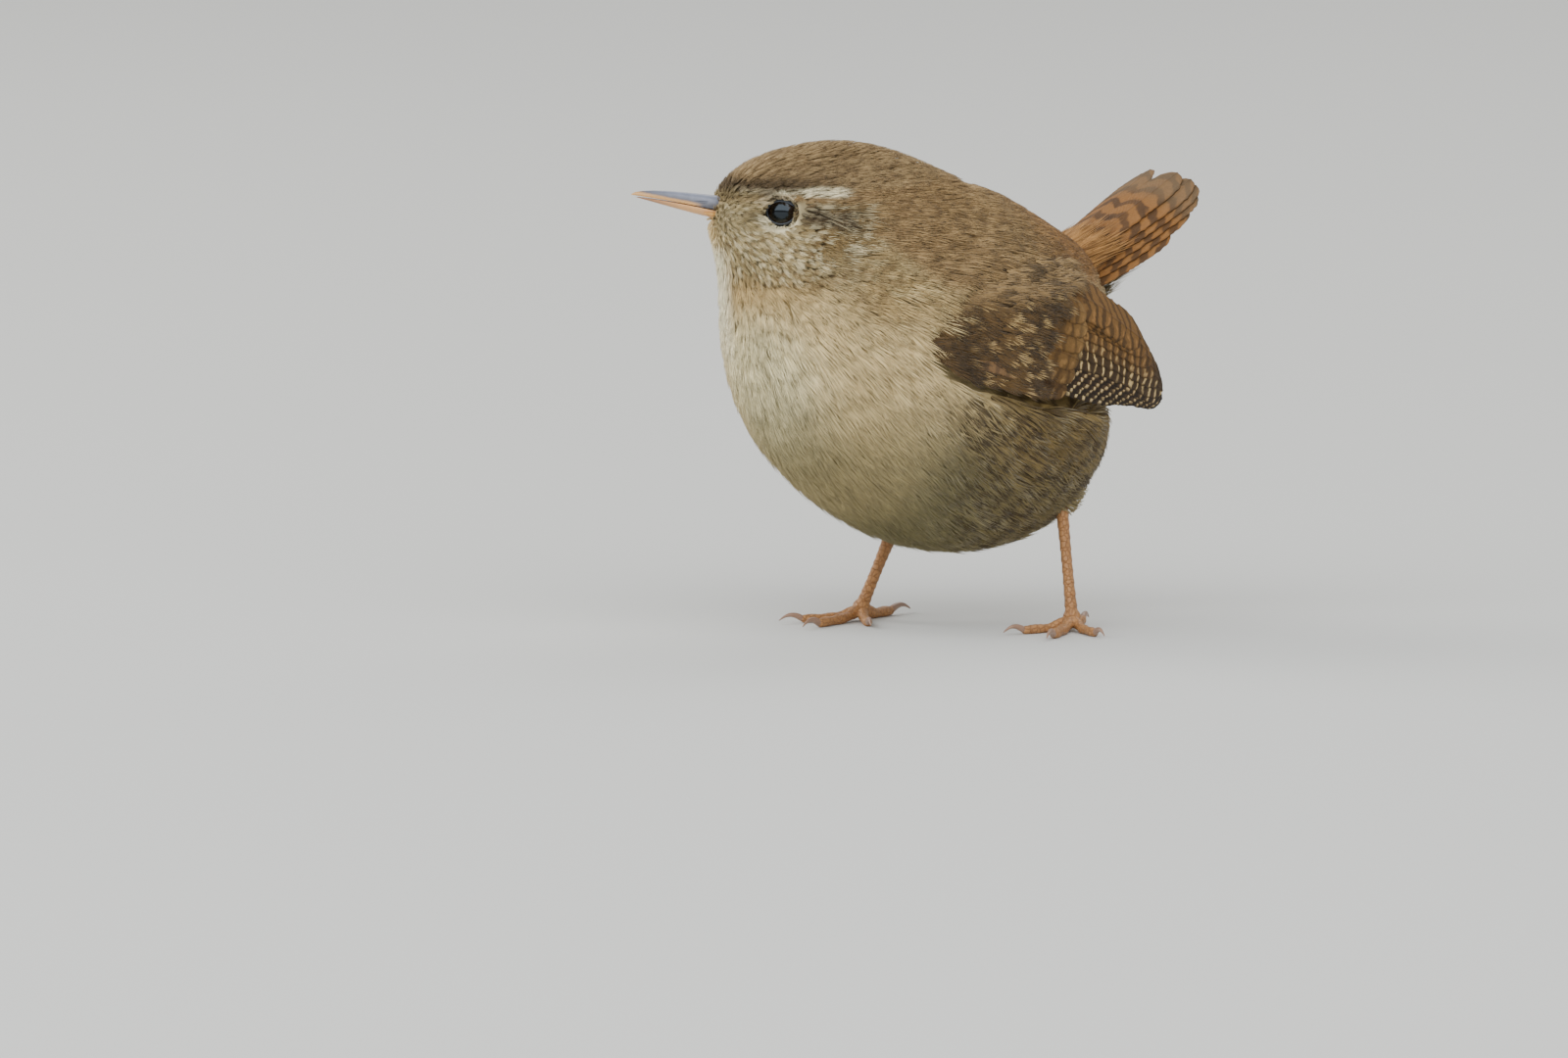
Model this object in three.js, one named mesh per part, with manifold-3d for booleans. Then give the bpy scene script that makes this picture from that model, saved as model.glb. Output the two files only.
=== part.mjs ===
// A life-size wren standing at rest: a round, fluffed body, the head turned to its right, the tail
// cocked and the wings drooped a little at the sides. Every sub-part is a closed solid of its own.
// Millimetres. +Z is up, the body faces -Y, and +X is the bird's left. The origin is on the floor,
// under the middle of the bird.
import * as THREE from "three";
import { mergeVertices } from "three/addons/utils/BufferGeometryUtils.js";
import Module from "manifold-3d";

const wasm = await Module();
wasm.setup();

const GAP = 0.3; // between two sub-parts that touch
const DEG = Math.PI / 180;
const X_AXIS = new THREE.Vector3(1, 0, 0);
const Y_AXIS = new THREE.Vector3(0, 1, 0);
const Z_AXIS = new THREE.Vector3(0, 0, 1);

// Plumage of the body, as soft ellipsoids: radii across, along and up, pitch raises the rear
const TORSO_CENTRE = new THREE.Vector3(0, 0, 35);
const BODY_BLEND = 7; // how softly the masses run into one another
const BODY_MASSES = [
  { name: "breast", centre: [0, -5.4, 38.3], radii: [22.4, 20.9, 19.3], pitch: -8 },
  { name: "belly", centre: [0, 3.8, 30.5], radii: [22.6, 24.4, 20.1], pitch: -20 },
  { name: "back", centre: [0, 3.4, 44.2], radii: [19.5, 22.2, 16], pitch: -16 },
  { name: "rump", centre: [0, 18.2, 42], radii: [10.5, 12, 9.5], pitch: 15 },
];

// Plumage of the head, in the head's own frame
const HEAD_CENTRE = new THREE.Vector3(-3.5, -12.5, 53.2);
const HEAD_YAW = 34; // degrees, to the bird's right
const HEAD_BLEND = 6;
const HEAD_MASSES = [
  { name: "skull", centre: [0, 0.8, 0.6], radii: [11, 15.3, 12.2], pitch: -2 },
  { name: "face", centre: [0, -8.2, 2.8], radii: [6, 6.7, 5], pitch: 0 },
  { name: "left orbit", centre: [5.9, -6.8, 3.7], radii: [3.4, 5, 4.4], pitch: 0 },
  { name: "right orbit", centre: [-5.9, -6.8, 3.7], radii: [3.4, 5, 4.4], pitch: 0 },
  { name: "throat", centre: [0, -0.4, -7.2], radii: [12, 11.1, 12.5], pitch: 0 },
];

// The flat cuts that part the head, neck and torso: a point on each and the way it faces
const HEAD_CUT = { point: [0, -8, 48], facing: [0.1, 0.62, -0.78] };
const NECK_CUT = { point: [0, -5, 42.5], facing: [0.06, 0.58, -0.81] };

// Bill
const BILL_BASE = new THREE.Vector3(0, -15.2, 3.6); // in the head's frame, on the line of the mouth
const BILL_LENGTH = 11.3;
const BILL_ROOT = 3; // hidden under the feathers
const BILL_RISE = 12; // degrees above level
const BILL_HALF_WIDTH = 1.5;
const UPPER_DEPTH = 1.85;
const LOWER_DEPTH = 1.1;
const BILL_DROOP = 0.35; // of the tip below a straight line of the mouth
const NOSTRIL = { along: 1.9, up: 0.8, length: 1.5, height: 0.4, depth: 0.5 };

// Eyes
const EYE_RADIUS = 2.5;
const EYE_PLACE = new THREE.Vector3(7.2, -6.5, 4); // the left eye, in the head's frame
const EYE_TURN = 17; // degrees that it looks forward of straight sideways
const LID_THICKNESS = 0.35;
const LID_OPENING = [2, 1.68]; // half its length and half its height
const LID_RIM = 0.2; // radius of the raised edge around the opening

// Wings: feathers lie on a dome at the bird's side, given by how far back and how high a point is
const WING_DOME = { x: 23.6, y: 0, z: 36.5, along: 27.8, up: 23.5 };
const WING_LEAVES_BODY = 8; // further back than this the wing runs straight on
const WING_TUCK = 0.0035; // and bends in towards the tail by this much of the distance squared
const VANE = 0.55; // thickness
const WING_DEPTH = 2.1; // of the fleshy fore part under the dome
const VANE_REST = -1.2; // the lowest that a vane's underside lies

// Tail, tented along its middle
const TAIL_ROOT = new THREE.Vector3(0, 17, 42.8);
const TAIL_RISE = 32; // degrees above level
const TAIL_YAW = 5; // degrees, to the bird's left
const TAIL_LENGTH = 30.4; // from its root in the rump to the longest tips
const TAIL_SLOPE = 0.287; // that each half falls away by, to its side
const TAIL_FEATHERS = 6; // a side

// Legs: each foot's joint and heel over the floor, the way the foot points in degrees left of ahead,
// and how much of the tarsus is bare of feathers. A toe's turn is inwards from where its foot points.
const FOOT_HEIGHT = 1.75;
const TARSUS_LENGTH = 17.5;
const TARSUS_RADIUS = 0.68;
const SCUTES = 7; // plates on the bare part of each tarsus
const SCUTE_STEP = 0.1; // that each plate's lower edge stands over the next
const KNUCKLE = 1.2;
const TOE_FALL = 0.5; // the share of a toe in which it comes down to the floor
const LEGS = {
  left: { foot: [16.6, 13.6], heel: [13.2, 14.4], facing: 36, inward: -1, bare: 13.6 },
  right: { foot: [-11, 0], heel: [-7.2, 5.4], facing: 18, inward: 1, bare: 9.2 },
};
const TOES = [
  { name: "hallux", turn: 178, length: 7.2, claw: 5, radius: 0.82, joints: 2 },
  { name: "toe_inner", turn: 38, length: 8.4, claw: 3.6, radius: 0.72, joints: 2 },
  { name: "toe_middle", turn: 0, length: 11, claw: 4.2, radius: 0.78, joints: 3 },
  { name: "toe_outer", turn: -34, length: 8.8, claw: 3.6, radius: 0.7, joints: 3 },
];

const COLOURS = {
  plumage: { color: 0x8c6a42, roughness: 0.95 },
  breast: { color: 0xb8a882, roughness: 0.95 },
  wing: { color: 0x6f4a26, roughness: 0.85 },
  tail: { color: 0x8a5a30, roughness: 0.85 },
  upperBill: { color: 0x4a4650, roughness: 0.4 },
  lowerBill: { color: 0xc48a5a, roughness: 0.45 },
  eye: { color: 0x120e0c, roughness: 0.05 },
  leg: { color: 0xc98a66, roughness: 0.6 },
  claw: { color: 0x8e7262, roughness: 0.45 },
};

const vector = (v) => new THREE.Vector3(...v);
const mix = (a, b, t) => a + (b - a) * t;

// How far a point lies outside an ellipsoid, close to a true distance near its surface.
function outsideEllipsoid(point, { centre, radii, pitch }) {
  const own = point.clone().sub(vector(centre)).applyAxisAngle(X_AXIS, -pitch * DEG);
  own.divide(vector(radii));
  const scaled = own.length();
  const slope = own.divide(vector(radii)).length();
  return slope < 1e-9 ? -Math.min(...radii) : (scaled * (scaled - 1)) / slope;
}

// The union of two distance fields with a soft fillet.
function blend(a, b, size) {
  const near = Math.max(size - Math.abs(a - b), 0) / size;
  return Math.min(a, b) - (near * near * size) / 4;
}

const toHead = (point) => point.clone().sub(HEAD_CENTRE).applyAxisAngle(Z_AXIS, HEAD_YAW * DEG);
const fromHead = (point) => point.clone().applyAxisAngle(Z_AXIS, -HEAD_YAW * DEG).add(HEAD_CENTRE);

// How far a point lies outside the plumage of the head and body.
function plumage(point) {
  const inHead = toHead(point);
  const body = BODY_MASSES.map((mass) => outsideEllipsoid(point, mass));
  const head = HEAD_MASSES.map((mass) => outsideEllipsoid(inHead, mass));
  const torso = body.reduce((a, b) => blend(a, b, BODY_BLEND));
  const skull = head.reduce((a, b) => blend(a, b, HEAD_BLEND));
  return blend(torso, skull, BODY_BLEND);
}

// Solids and geometries

// A closed solid of a geometry, turned right side out if its faces point inwards.
function solidOf(geometry) {
  const flat = geometry.index ? geometry.toNonIndexed() : geometry;
  const bare = new THREE.BufferGeometry().setAttribute("position", flat.getAttribute("position"));
  const merged = mergeVertices(bare, 1e-4);
  const vertProperties = merged.attributes.position.array;
  const triVerts = new Uint32Array(merged.index.array);
  const made = new wasm.Manifold(new wasm.Mesh({ numProp: 3, vertProperties, triVerts }));
  if (made.volume() > 0) return made;
  for (let i = 0; i < triVerts.length; i += 3) {
    [triVerts[i + 1], triVerts[i + 2]] = [triVerts[i + 2], triVerts[i + 1]];
  }
  return new wasm.Manifold(new wasm.Mesh({ numProp: 3, vertProperties, triVerts }));
}

function geometryOf(solid) {
  const { vertProperties, triVerts } = solid.getMesh();
  const geometry = new THREE.BufferGeometry();
  geometry.setAttribute("position", new THREE.BufferAttribute(vertProperties, 3));
  geometry.setIndex(new THREE.BufferAttribute(triVerts, 1));
  return geometry;
}

// A solid without its sealed hollows and loose scraps.
function largest(solid) {
  return solid.decompose().reduce((a, b) => (a.volume() > b.volume() ? a : b));
}

const unite = (solids) => largest(solids.reduce((a, b) => a.add(b)));

// What lies behind a flat cut, less half of the gap.
function behind(solid, { point, facing }) {
  const normal = vector(facing).normalize();
  return solid.trimByPlane(normal.clone().negate().toArray(), GAP / 2 - normal.dot(vector(point)));
}

// What lies ahead of a flat cut, less half of the gap.
function ahead(solid, { point, facing }) {
  const normal = vector(facing).normalize();
  return solid.trimByPlane(normal.toArray(), GAP / 2 + normal.dot(vector(point)));
}

// A closed shell drawn outwards from a centre to where the field turns positive.
function shell(centre, detail, field) {
  const sphere = new THREE.IcosahedronGeometry(1, detail);
  sphere.deleteAttribute("normal");
  sphere.deleteAttribute("uv");
  const geometry = mergeVertices(sphere, 1e-4);
  const place = geometry.attributes.position;
  const ray = new THREE.Vector3();
  for (let i = 0; i < place.count; i++) {
    ray.fromBufferAttribute(place, i).normalize();
    const along = (reach) => centre.clone().addScaledVector(ray, reach);
    let outer = 1;
    while (field(along(outer)) < 0) outer += 1;
    let inner = outer - 1;
    for (let halving = 0; halving < 20; halving++) {
      const middle = (inner + outer) / 2;
      if (field(along(middle)) < 0) inner = middle;
      else outer = middle;
    }
    place.setXYZ(i, ...along(outer).toArray());
  }
  return solidOf(geometry);
}

// A closed body through rings of points, each ring a convex loop of the same count.
function loft(rings) {
  const count = rings[0].length;
  const triangles = [];
  rings.slice(1).forEach((next, i) => {
    const ring = rings[i];
    for (let j = 0; j < count; j++) {
      const k = (j + 1) % count;
      triangles.push(ring[j], ring[k], next[k], ring[j], next[k], next[j]);
    }
  });
  const first = rings[0];
  const last = rings[rings.length - 1];
  for (let j = 1; j < count - 1; j++) {
    triangles.push(first[0], first[j + 1], first[j], last[0], last[j], last[j + 1]);
  }
  return solidOf(new THREE.BufferGeometry().setFromPoints(triangles));
}

// A thin sheet with alike triangles on its two faces. Each station has rows of points across it, of
// the upper face and of the lower one.
function sheet(stations) {
  const columns = stations[0].top.length - 1;
  const triangles = [];
  const quad = (a, b, c, d) => triangles.push(a, b, c, a, c, d);
  stations.slice(1).forEach((next, i) => {
    const here = stations[i];
    for (let j = 0; j < columns; j++) {
      quad(here.top[j], here.top[j + 1], next.top[j + 1], next.top[j]);
      triangles.push(here.low[j], next.low[j + 1], here.low[j + 1]);
      triangles.push(here.low[j], next.low[j], next.low[j + 1]);
    }
    quad(here.top[columns], here.low[columns], next.low[columns], next.top[columns]);
    quad(here.low[0], here.top[0], next.top[0], next.low[0]);
  });
  const first = stations[0];
  const last = stations[stations.length - 1];
  for (let j = 0; j < columns; j++) {
    quad(first.top[j], first.low[j], first.low[j + 1], first.top[j + 1]);
    quad(last.top[j], last.top[j + 1], last.low[j + 1], last.low[j]);
  }
  return solidOf(new THREE.BufferGeometry().setFromPoints(triangles));
}

// A feather's half width at each share of its length, over the greatest one: a blade with a round tip.
const BLADE = [
  [0, 0.62],
  [0.35, 0.9],
  [0.7, 1],
  [0.9, 0.74],
  [1, 0.22],
];

// A vane laid on a surface. A surface turns two numbers into a point and the way it faces there.
// The path bends from root to tip by `bend`, `tilt` lifts its left edge over its right one, and
// `lift` is how far its underside stands off the surface, at the root and at the tip.
function vane(surface, { root, tip, bend = 0, halfWidth, lift, tilt = 0, thick = VANE, blade = BLADE }) {
  const along = new THREE.Vector2(tip[0] - root[0], tip[1] - root[1]);
  const left = new THREE.Vector2(-along.y, along.x).normalize();
  const stations = blade.map(([share, width]) => {
    const middle = new THREE.Vector2(...root).addScaledVector(along, share);
    middle.addScaledVector(left, bend * 4 * share * (1 - share));
    const points = [1, 0, -1].map((side) => {
      const place = middle.clone().addScaledVector(left, side * width * halfWidth);
      const { point, normal } = surface(place.x, place.y);
      const low = mix(lift[0], lift[1], share) + side * tilt * width;
      const rib = side === 0 ? 0.12 : 0;
      return [point.clone().addScaledVector(normal, low), point.addScaledVector(normal, low + thick + rib)];
    });
    return { low: points.map((pair) => pair[0]), top: points.map((pair) => pair[1]) };
  });
  return sheet(stations);
}

const mirrored = (solid) => solid.mirror([1, 0, 0]);
const ballAt = (centre, radius, detail) => {
  const geometry = new THREE.IcosahedronGeometry(radius, detail).translate(...centre.toArray());
  return solidOf(geometry);
};

// Head and bill

// A ring of a mandible across its length: a rounded back and flat tomia.
function billRing(distance, halfWidth, depth, base, side) {
  const points = [];
  const steps = 8;
  for (let i = 0; i <= steps; i++) {
    const angle = (i / steps) * Math.PI;
    const x = halfWidth * Math.cos(angle);
    points.push(new THREE.Vector3(x, -distance, base + side * depth * Math.sin(angle) ** 0.85));
  }
  return points;
}

// How deep a mandible is at a share of its length, over its depth at the feathers.
const upperTaper = (out) => (1 - 0.54 * out) * Math.sqrt(1 - 0.99 * out ** 6);
const lowerTaper = (out) => 1 - 0.94 * out ** 1.6;

// A mandible, from its root under the feathers to its tip. Side is +1 for the upper one. With a
// margin it is the room that the mandible needs in the head.
function mandible(side, margin) {
  const stops = [-BILL_ROOT - margin, 0, 2.2, 4.4, 6.4, 8, 9.3, 10.2, 10.7];
  const tip = side > 0 ? BILL_LENGTH : BILL_LENGTH - 0.6;
  const rings = stops.map((stop) => {
    const distance = Math.min(stop, 0) + (Math.max(stop, 0) * tip) / 10.7;
    const out = Math.max(distance, 0) / tip;
    const deep = side > 0 ? UPPER_DEPTH * upperTaper(out) : LOWER_DEPTH * lowerTaper(out);
    const width = BILL_HALF_WIDTH * (1 - 0.72 * out) * Math.sqrt(1 - 0.9 * out ** 8);
    const droop = -BILL_DROOP * out ** 2.5;
    return billRing(distance, width + margin, deep + 2 * margin, droop, side);
  });
  return loft(rings).translate([0, 0, side * (GAP / 2 - margin)]);
}

function headMatrix() {
  const turn = new THREE.Matrix4().makeRotationZ(-HEAD_YAW * DEG);
  return new THREE.Matrix4().makeTranslation(HEAD_CENTRE).multiply(turn);
}

function placeOnBill(solid) {
  const turn = new THREE.Matrix4().makeRotationAxis(X_AXIS, -BILL_RISE * DEG);
  const place = new THREE.Matrix4().makeTranslation(BILL_BASE).multiply(turn);
  return solid.transform(headMatrix().multiply(place).elements);
}

function nostril(side) {
  const slot = new THREE.CapsuleGeometry(NOSTRIL.height / 2, NOSTRIL.length, 3, 8);
  slot.scale(2 * (NOSTRIL.depth / NOSTRIL.height), 1, 1).rotateX(8 * DEG);
  return solidOf(slot.translate(side * BILL_HALF_WIDTH * 0.98, -NOSTRIL.along, NOSTRIL.up));
}

function makeBill() {
  const upper = mandible(1, 0).subtract(nostril(1)).subtract(nostril(-1));
  const room = mandible(1, GAP).add(mandible(-1, GAP));
  return { upper: placeOnBill(upper), lower: placeOnBill(mandible(-1, 0)), room: placeOnBill(room) };
}

// Where an eye sits and which way it looks, in the part's frame. Side is +1 for the left.
function eyeFrame(side) {
  const centre = EYE_PLACE.clone();
  centre.x *= side;
  const looking = new THREE.Vector3(side, 0, 0).applyAxisAngle(Z_AXIS, -side * EYE_TURN * DEG);
  const turn = new THREE.Quaternion().setFromUnitVectors(Z_AXIS, looking);
  const own = new THREE.Matrix4().compose(centre, turn, new THREE.Vector3(1, 1, 1));
  return { matrix: headMatrix().multiply(own), centre: fromHead(centre) };
}

// Turns an eye's own up direction upright, so that its lids are longer than high.
function uprightEye(side) {
  const { matrix } = eyeFrame(side);
  const up = Z_AXIS.clone().transformDirection(matrix.clone().invert());
  return matrix.clone().multiply(new THREE.Matrix4().makeRotationZ(Math.atan2(up.y, up.x) - Math.PI / 2));
}

// The opening between the lids, a long round bar that points out of the eye.
function lidOpening(side) {
  const bar = new THREE.CylinderGeometry(1, 1, 5, 24).rotateX(90 * DEG).translate(0, 0, 3);
  bar.scale(LID_OPENING[0], LID_OPENING[1], 1);
  return solidOf(bar.applyMatrix4(uprightEye(side)));
}

// The raised edge of the lids, a ring bent over the eyeball.
function lidRim(side) {
  const ring = new THREE.TorusGeometry(1, LID_RIM, 5, 20);
  const place = ring.attributes.position;
  const over = EYE_RADIUS + GAP + LID_THICKNESS - 0.05;
  for (let i = 0; i < place.count; i++) {
    const angle = Math.atan2(place.getY(i), place.getX(i));
    const off = Math.hypot(place.getX(i), place.getY(i)) - 1;
    const x = (LID_OPENING[0] + LID_RIM + off) * Math.cos(angle);
    const y = (LID_OPENING[1] + LID_RIM + off) * Math.sin(angle);
    place.setXYZ(i, x, y, place.getZ(i) + Math.sqrt(over * over - x * x - y * y));
  }
  return solidOf(ring.applyMatrix4(uprightEye(side)));
}

function makeHead(bill) {
  const clip = (point) => Math.max(plumage(point), pastCut(point, HEAD_CUT) - 3);
  let head = behind(shell(HEAD_CENTRE, 9, clip), HEAD_CUT);
  for (const side of [1, -1]) {
    const { centre } = eyeFrame(side);
    head = head.add(ballAt(centre, EYE_RADIUS + GAP + LID_THICKNESS, 3)).add(lidRim(side));
    head = head.subtract(ballAt(centre, EYE_RADIUS + GAP, 3)).subtract(lidOpening(side));
  }
  return head.subtract(bill.room);
}

// How far a point lies past a cut, on the side that it faces.
function pastCut(point, cut) {
  return vector(cut.facing).normalize().dot(point.clone().sub(vector(cut.point)));
}

// Neck and torso

function makeNeck() {
  const centre = vector(HEAD_CUT.point).add(vector(NECK_CUT.point)).multiplyScalar(0.5);
  const slab = (point) => Math.max(pastCut(point, NECK_CUT) - 2, -2 - pastCut(point, HEAD_CUT));
  const ring = shell(centre, 8, (point) => Math.max(plumage(point), slab(point)));
  return largest(ahead(behind(ring, NECK_CUT), HEAD_CUT));
}

// Wings

// The dome that the left wing's feathers lie on, as a point and the way it faces.
function wingSurface(back, up) {
  const point = (y, z) => {
    const held = Math.min(y, WING_LEAVES_BODY);
    const { x, y: cy, z: cz, along, up: high } = WING_DOME;
    const inside = 1 - ((held - cy) / along) ** 2 - ((z - cz) / high) ** 2;
    const side = x * Math.sqrt(Math.max(inside, 0.05));
    const slope = (-(x * x) * (held - cy)) / (along * along * side);
    const past = y - held;
    return new THREE.Vector3(side + slope * past - WING_TUCK * past * past, y, z);
  };
  const step = 0.05;
  const here = point(back, up);
  const alongY = point(back + step, up).sub(here);
  const alongZ = point(back, up + step).sub(here);
  return { point: here, normal: alongY.cross(alongZ).normalize() };
}

// Flight feathers from the outermost primary, lowest and deepest, to the innermost tertial on top.
function flightFeathers() {
  const feathers = [];
  const primaries = 7;
  for (let i = 0; i < primaries; i++) {
    const inner = i / (primaries - 1);
    feathers.push({
      root: [mix(-6, 4, inner), mix(36, 37.5, inner)],
      tip: [mix(21.6, 32, Math.min(inner * 2.4, 1)), mix(31.1, 30.5, inner) - 1.2 * Math.sin(inner * Math.PI)],
      bend: mix(0.4, 1.3, inner),
      halfWidth: mix(1.5, 2.1, inner),
    });
  }
  const secondaries = 5;
  for (let i = 0; i < secondaries; i++) {
    const inner = i / (secondaries - 1);
    feathers.push({
      root: [mix(3, 6, inner), mix(38, 43.5, inner)],
      tip: [mix(31.4, 26.2, inner ** 1.2), mix(31.2, 37.4, inner)],
      bend: mix(1.6, 1.3, inner),
      halfWidth: 2.5,
    });
  }
  const tertials = 3;
  for (let i = 0; i < tertials; i++) {
    const inner = i / (tertials - 1);
    feathers.push({
      root: [mix(6, 5, inner), mix(44, 46.5, inner)],
      tip: [mix(24.4, 18, inner), mix(38.6, 42.4, inner)],
      bend: mix(1.2, 0.8, inner),
      halfWidth: mix(2.8, 3, inner),
    });
  }
  return feathers.map((feather, i) => {
    const layer = i / (feathers.length - 1);
    return { ...feather, lift: [mix(-0.6, -0.5, layer), mix(-0.15, 0.4, layer)], tilt: -0.3 };
  });
}

const SHORT_BLADE = [
  [0, 0.7],
  [0.45, 1],
  [0.82, 0.8],
  [1, 0.25],
];

// The greater and median coverts and the alula, which overlap the flight feathers' bases.
function coverts() {
  const feathers = [];
  const greater = 6;
  for (let i = 0; i < greater; i++) {
    const inner = i / (greater - 1);
    feathers.push({
      root: [mix(-4, 0, inner), mix(36.2, 46, inner)],
      tip: [mix(6.5, 12.2, inner ** 0.8), mix(33.6, 43, inner)],
      bend: 0.5,
      halfWidth: 2.1,
      lift: [-0.65, 0.5],
    });
  }
  const median = 5;
  for (let i = 0; i < median; i++) {
    const inner = i / (median - 1);
    feathers.push({
      root: [mix(-8.5, -4.5, inner), mix(38, 46.6, inner)],
      tip: [mix(-0.6, 4.2, inner), mix(36.8, 44.4, inner)],
      bend: 0.3,
      halfWidth: 2,
      lift: [-0.65, 0.75],
    });
  }
  feathers.push({ root: [-5, 36.2], tip: [4.5, 34.4], bend: 0.3, halfWidth: 1.3, lift: [-0.65, 0.5] });
  return feathers.map((feather) => ({ ...feather, tilt: -0.22, blade: SHORT_BLADE }));
}

// The wing's outline as the heights of its lower and upper edge, from the shoulder to its tip.
const WING_OUTLINE = [
  [-14, 38.8, 41],
  [-12, 37, 43.6],
  [-9, 35.2, 46],
  [-4, 34, 48],
  [1, 33, 49],
  [6, 32, 49.4],
  [11, 31, 49],
  [16, 30, 47],
  [21, 29, 43],
  [26, 28.2, 39.6],
  [32.5, 27.8, 35],
];

// A piece of the wing's outline as a slab on the dome, grown by a margin.
function wingSlab({ last, margin, low, high }) {
  const columns = 3;
  const stations = WING_OUTLINE.slice(0, last).map(([back, bottom, top], i) => {
    const y = back + (i === 0 ? -margin : i === last - 1 ? margin : 0);
    const points = Array.from({ length: columns + 1 }, (_, j) => {
      const z = mix(top + margin, bottom - margin, j / columns);
      const { point, normal } = wingSurface(y, z);
      return [point.clone().addScaledVector(normal, low), point.addScaledVector(normal, high)];
    });
    return { low: points.map((pair) => pair[0]), top: points.map((pair) => pair[1]) };
  });
  return sheet(stations);
}

function makeWing() {
  const vanes = [...flightFeathers(), ...coverts()].map((feather) => vane(wingSurface, feather));
  const arm = wingSlab({ last: 7, margin: -0.5, low: -WING_DEPTH, high: 0.3 });
  return unite([arm, ...vanes]);
}

// What the torso gives up so that the arm and the vanes of a wing can lie in it.
function wingRoom() {
  const arm = wingSlab({ last: 7, margin: GAP - 0.5, low: -WING_DEPTH - GAP, high: 9 });
  const vanes = wingSlab({ last: 11, margin: 0, low: VANE_REST - GAP, high: 9 });
  return arm.add(vanes);
}

// Tail

// The cocked tail's two slopes: how far to the left and how far out a point is.
function tailSurface(across, out) {
  const rise = TAIL_RISE * DEG;
  const along = new THREE.Vector3(0, Math.cos(rise), Math.sin(rise));
  const over = new THREE.Vector3(0, -Math.sin(rise), Math.cos(rise));
  const ridge = Math.hypot(across, 2);
  const point = along.clone().multiplyScalar(out);
  point.addScaledVector(over, -TAIL_SLOPE * (ridge - 2));
  point.x += across;
  const normal = over.clone();
  normal.x = (TAIL_SLOPE * across) / ridge;
  point.applyAxisAngle(Z_AXIS, -TAIL_YAW * DEG).add(TAIL_ROOT);
  return { point, normal: normal.applyAxisAngle(Z_AXIS, -TAIL_YAW * DEG).normalize() };
}

const TAIL_BLADE = [
  [0, 0.5],
  [0.4, 0.82],
  [0.78, 1],
  [0.93, 0.78],
  [1, 0.3],
];

function makeTail() {
  const feathers = [];
  for (const side of [1, -1]) {
    for (let i = 0; i < TAIL_FEATHERS; i++) {
      const outer = i / (TAIL_FEATHERS - 1); // 0 is the central pair, on top
      const reach = TAIL_LENGTH * (1 - 0.3 * outer ** 3.2);
      feathers.push({
        root: [side * mix(0.9, 4.4, outer), 0],
        tip: [side * mix(2.9, 9.6, outer ** 0.6), reach],
        bend: side * mix(-0.3, -0.9, outer),
        halfWidth: mix(2.5, 2.1, outer),
        lift: [mix(0.9, -0.9, outer), mix(0.45, -0.75, outer)],
        tilt: side * -0.22,
        blade: TAIL_BLADE,
      });
    }
  }
  const core = vane(tailSurface, {
    root: [0, 0],
    tip: [0, 14],
    halfWidth: 5.6,
    lift: [-1.6, -0.7],
    thick: 2.4,
    blade: SHORT_BLADE,
  });
  return unite([core, ...feathers.map((feather) => vane(tailSurface, feather))]);
}

// Legs

// A ring of points around an axis, flattened by `deep` along the second direction.
function ringAt(centre, axis, radius, deep = 1, sides = 8) {
  const across = new THREE.Vector3().crossVectors(axis, Math.abs(axis.z) > 0.7 ? Y_AXIS : Z_AXIS);
  across.normalize();
  const other = new THREE.Vector3().crossVectors(axis, across).normalize();
  return Array.from({ length: sides }, (_, i) => {
    const angle = (i / sides) * 2 * Math.PI;
    const point = centre.clone().addScaledVector(across, radius * Math.cos(angle));
    return point.addScaledVector(other, radius * deep * Math.sin(angle));
  });
}

function legFrame(leg) {
  const foot = new THREE.Vector3(leg.foot[0], leg.foot[1], FOOT_HEIGHT);
  const flat = new THREE.Vector2(leg.heel[0] - leg.foot[0], leg.heel[1] - leg.foot[1]);
  const rise = Math.sqrt(TARSUS_LENGTH ** 2 - flat.lengthSq());
  const heel = new THREE.Vector3(leg.heel[0], leg.heel[1], FOOT_HEIGHT + rise);
  return { foot, heel, axis: heel.clone().sub(foot).normalize() };
}

// The tarsus with its plates, from 0.3 mm below the thigh to the knuckle at its foot.
function makeTarsus(leg) {
  const { foot, axis } = legFrame(leg);
  const high = foot.clone().addScaledVector(axis, leg.bare - GAP);
  const rings = [];
  for (let i = 0; i < SCUTES; i++) {
    const top = high.clone().lerp(foot, i / SCUTES);
    const bottom = high.clone().lerp(foot, (i + 0.93) / SCUTES);
    const flare = 0.5 * (i / (SCUTES - 1) - 0.45) ** 2;
    rings.push(ringAt(top, axis, TARSUS_RADIUS + flare, 1.35));
    rings.push(ringAt(bottom, axis, TARSUS_RADIUS + flare + SCUTE_STEP, 1.35));
  }
  rings.push(ringAt(foot, axis, TARSUS_RADIUS + 0.25, 1.2));
  return unite([loft(rings), ballAt(foot, KNUCKLE, 2)]);
}

// A toe's axis from the knuckle out, as points, and its direction over the floor.
function toeLine(leg, toe) {
  const { foot } = legFrame(leg);
  const heading = (leg.facing + leg.inward * toe.turn) * DEG;
  const axis = new THREE.Vector3(Math.sin(heading), -Math.cos(heading), 0);
  const at = (distance) => {
    const height = toe.radius * 0.8;
    const fall = Math.min(distance / (toe.length * TOE_FALL), 1);
    const point = foot.clone().addScaledVector(axis, distance);
    point.z = mix(FOOT_HEIGHT - 0.35, height, fall * fall * (3 - 2 * fall));
    return point;
  };
  return { at, axis };
}

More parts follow.
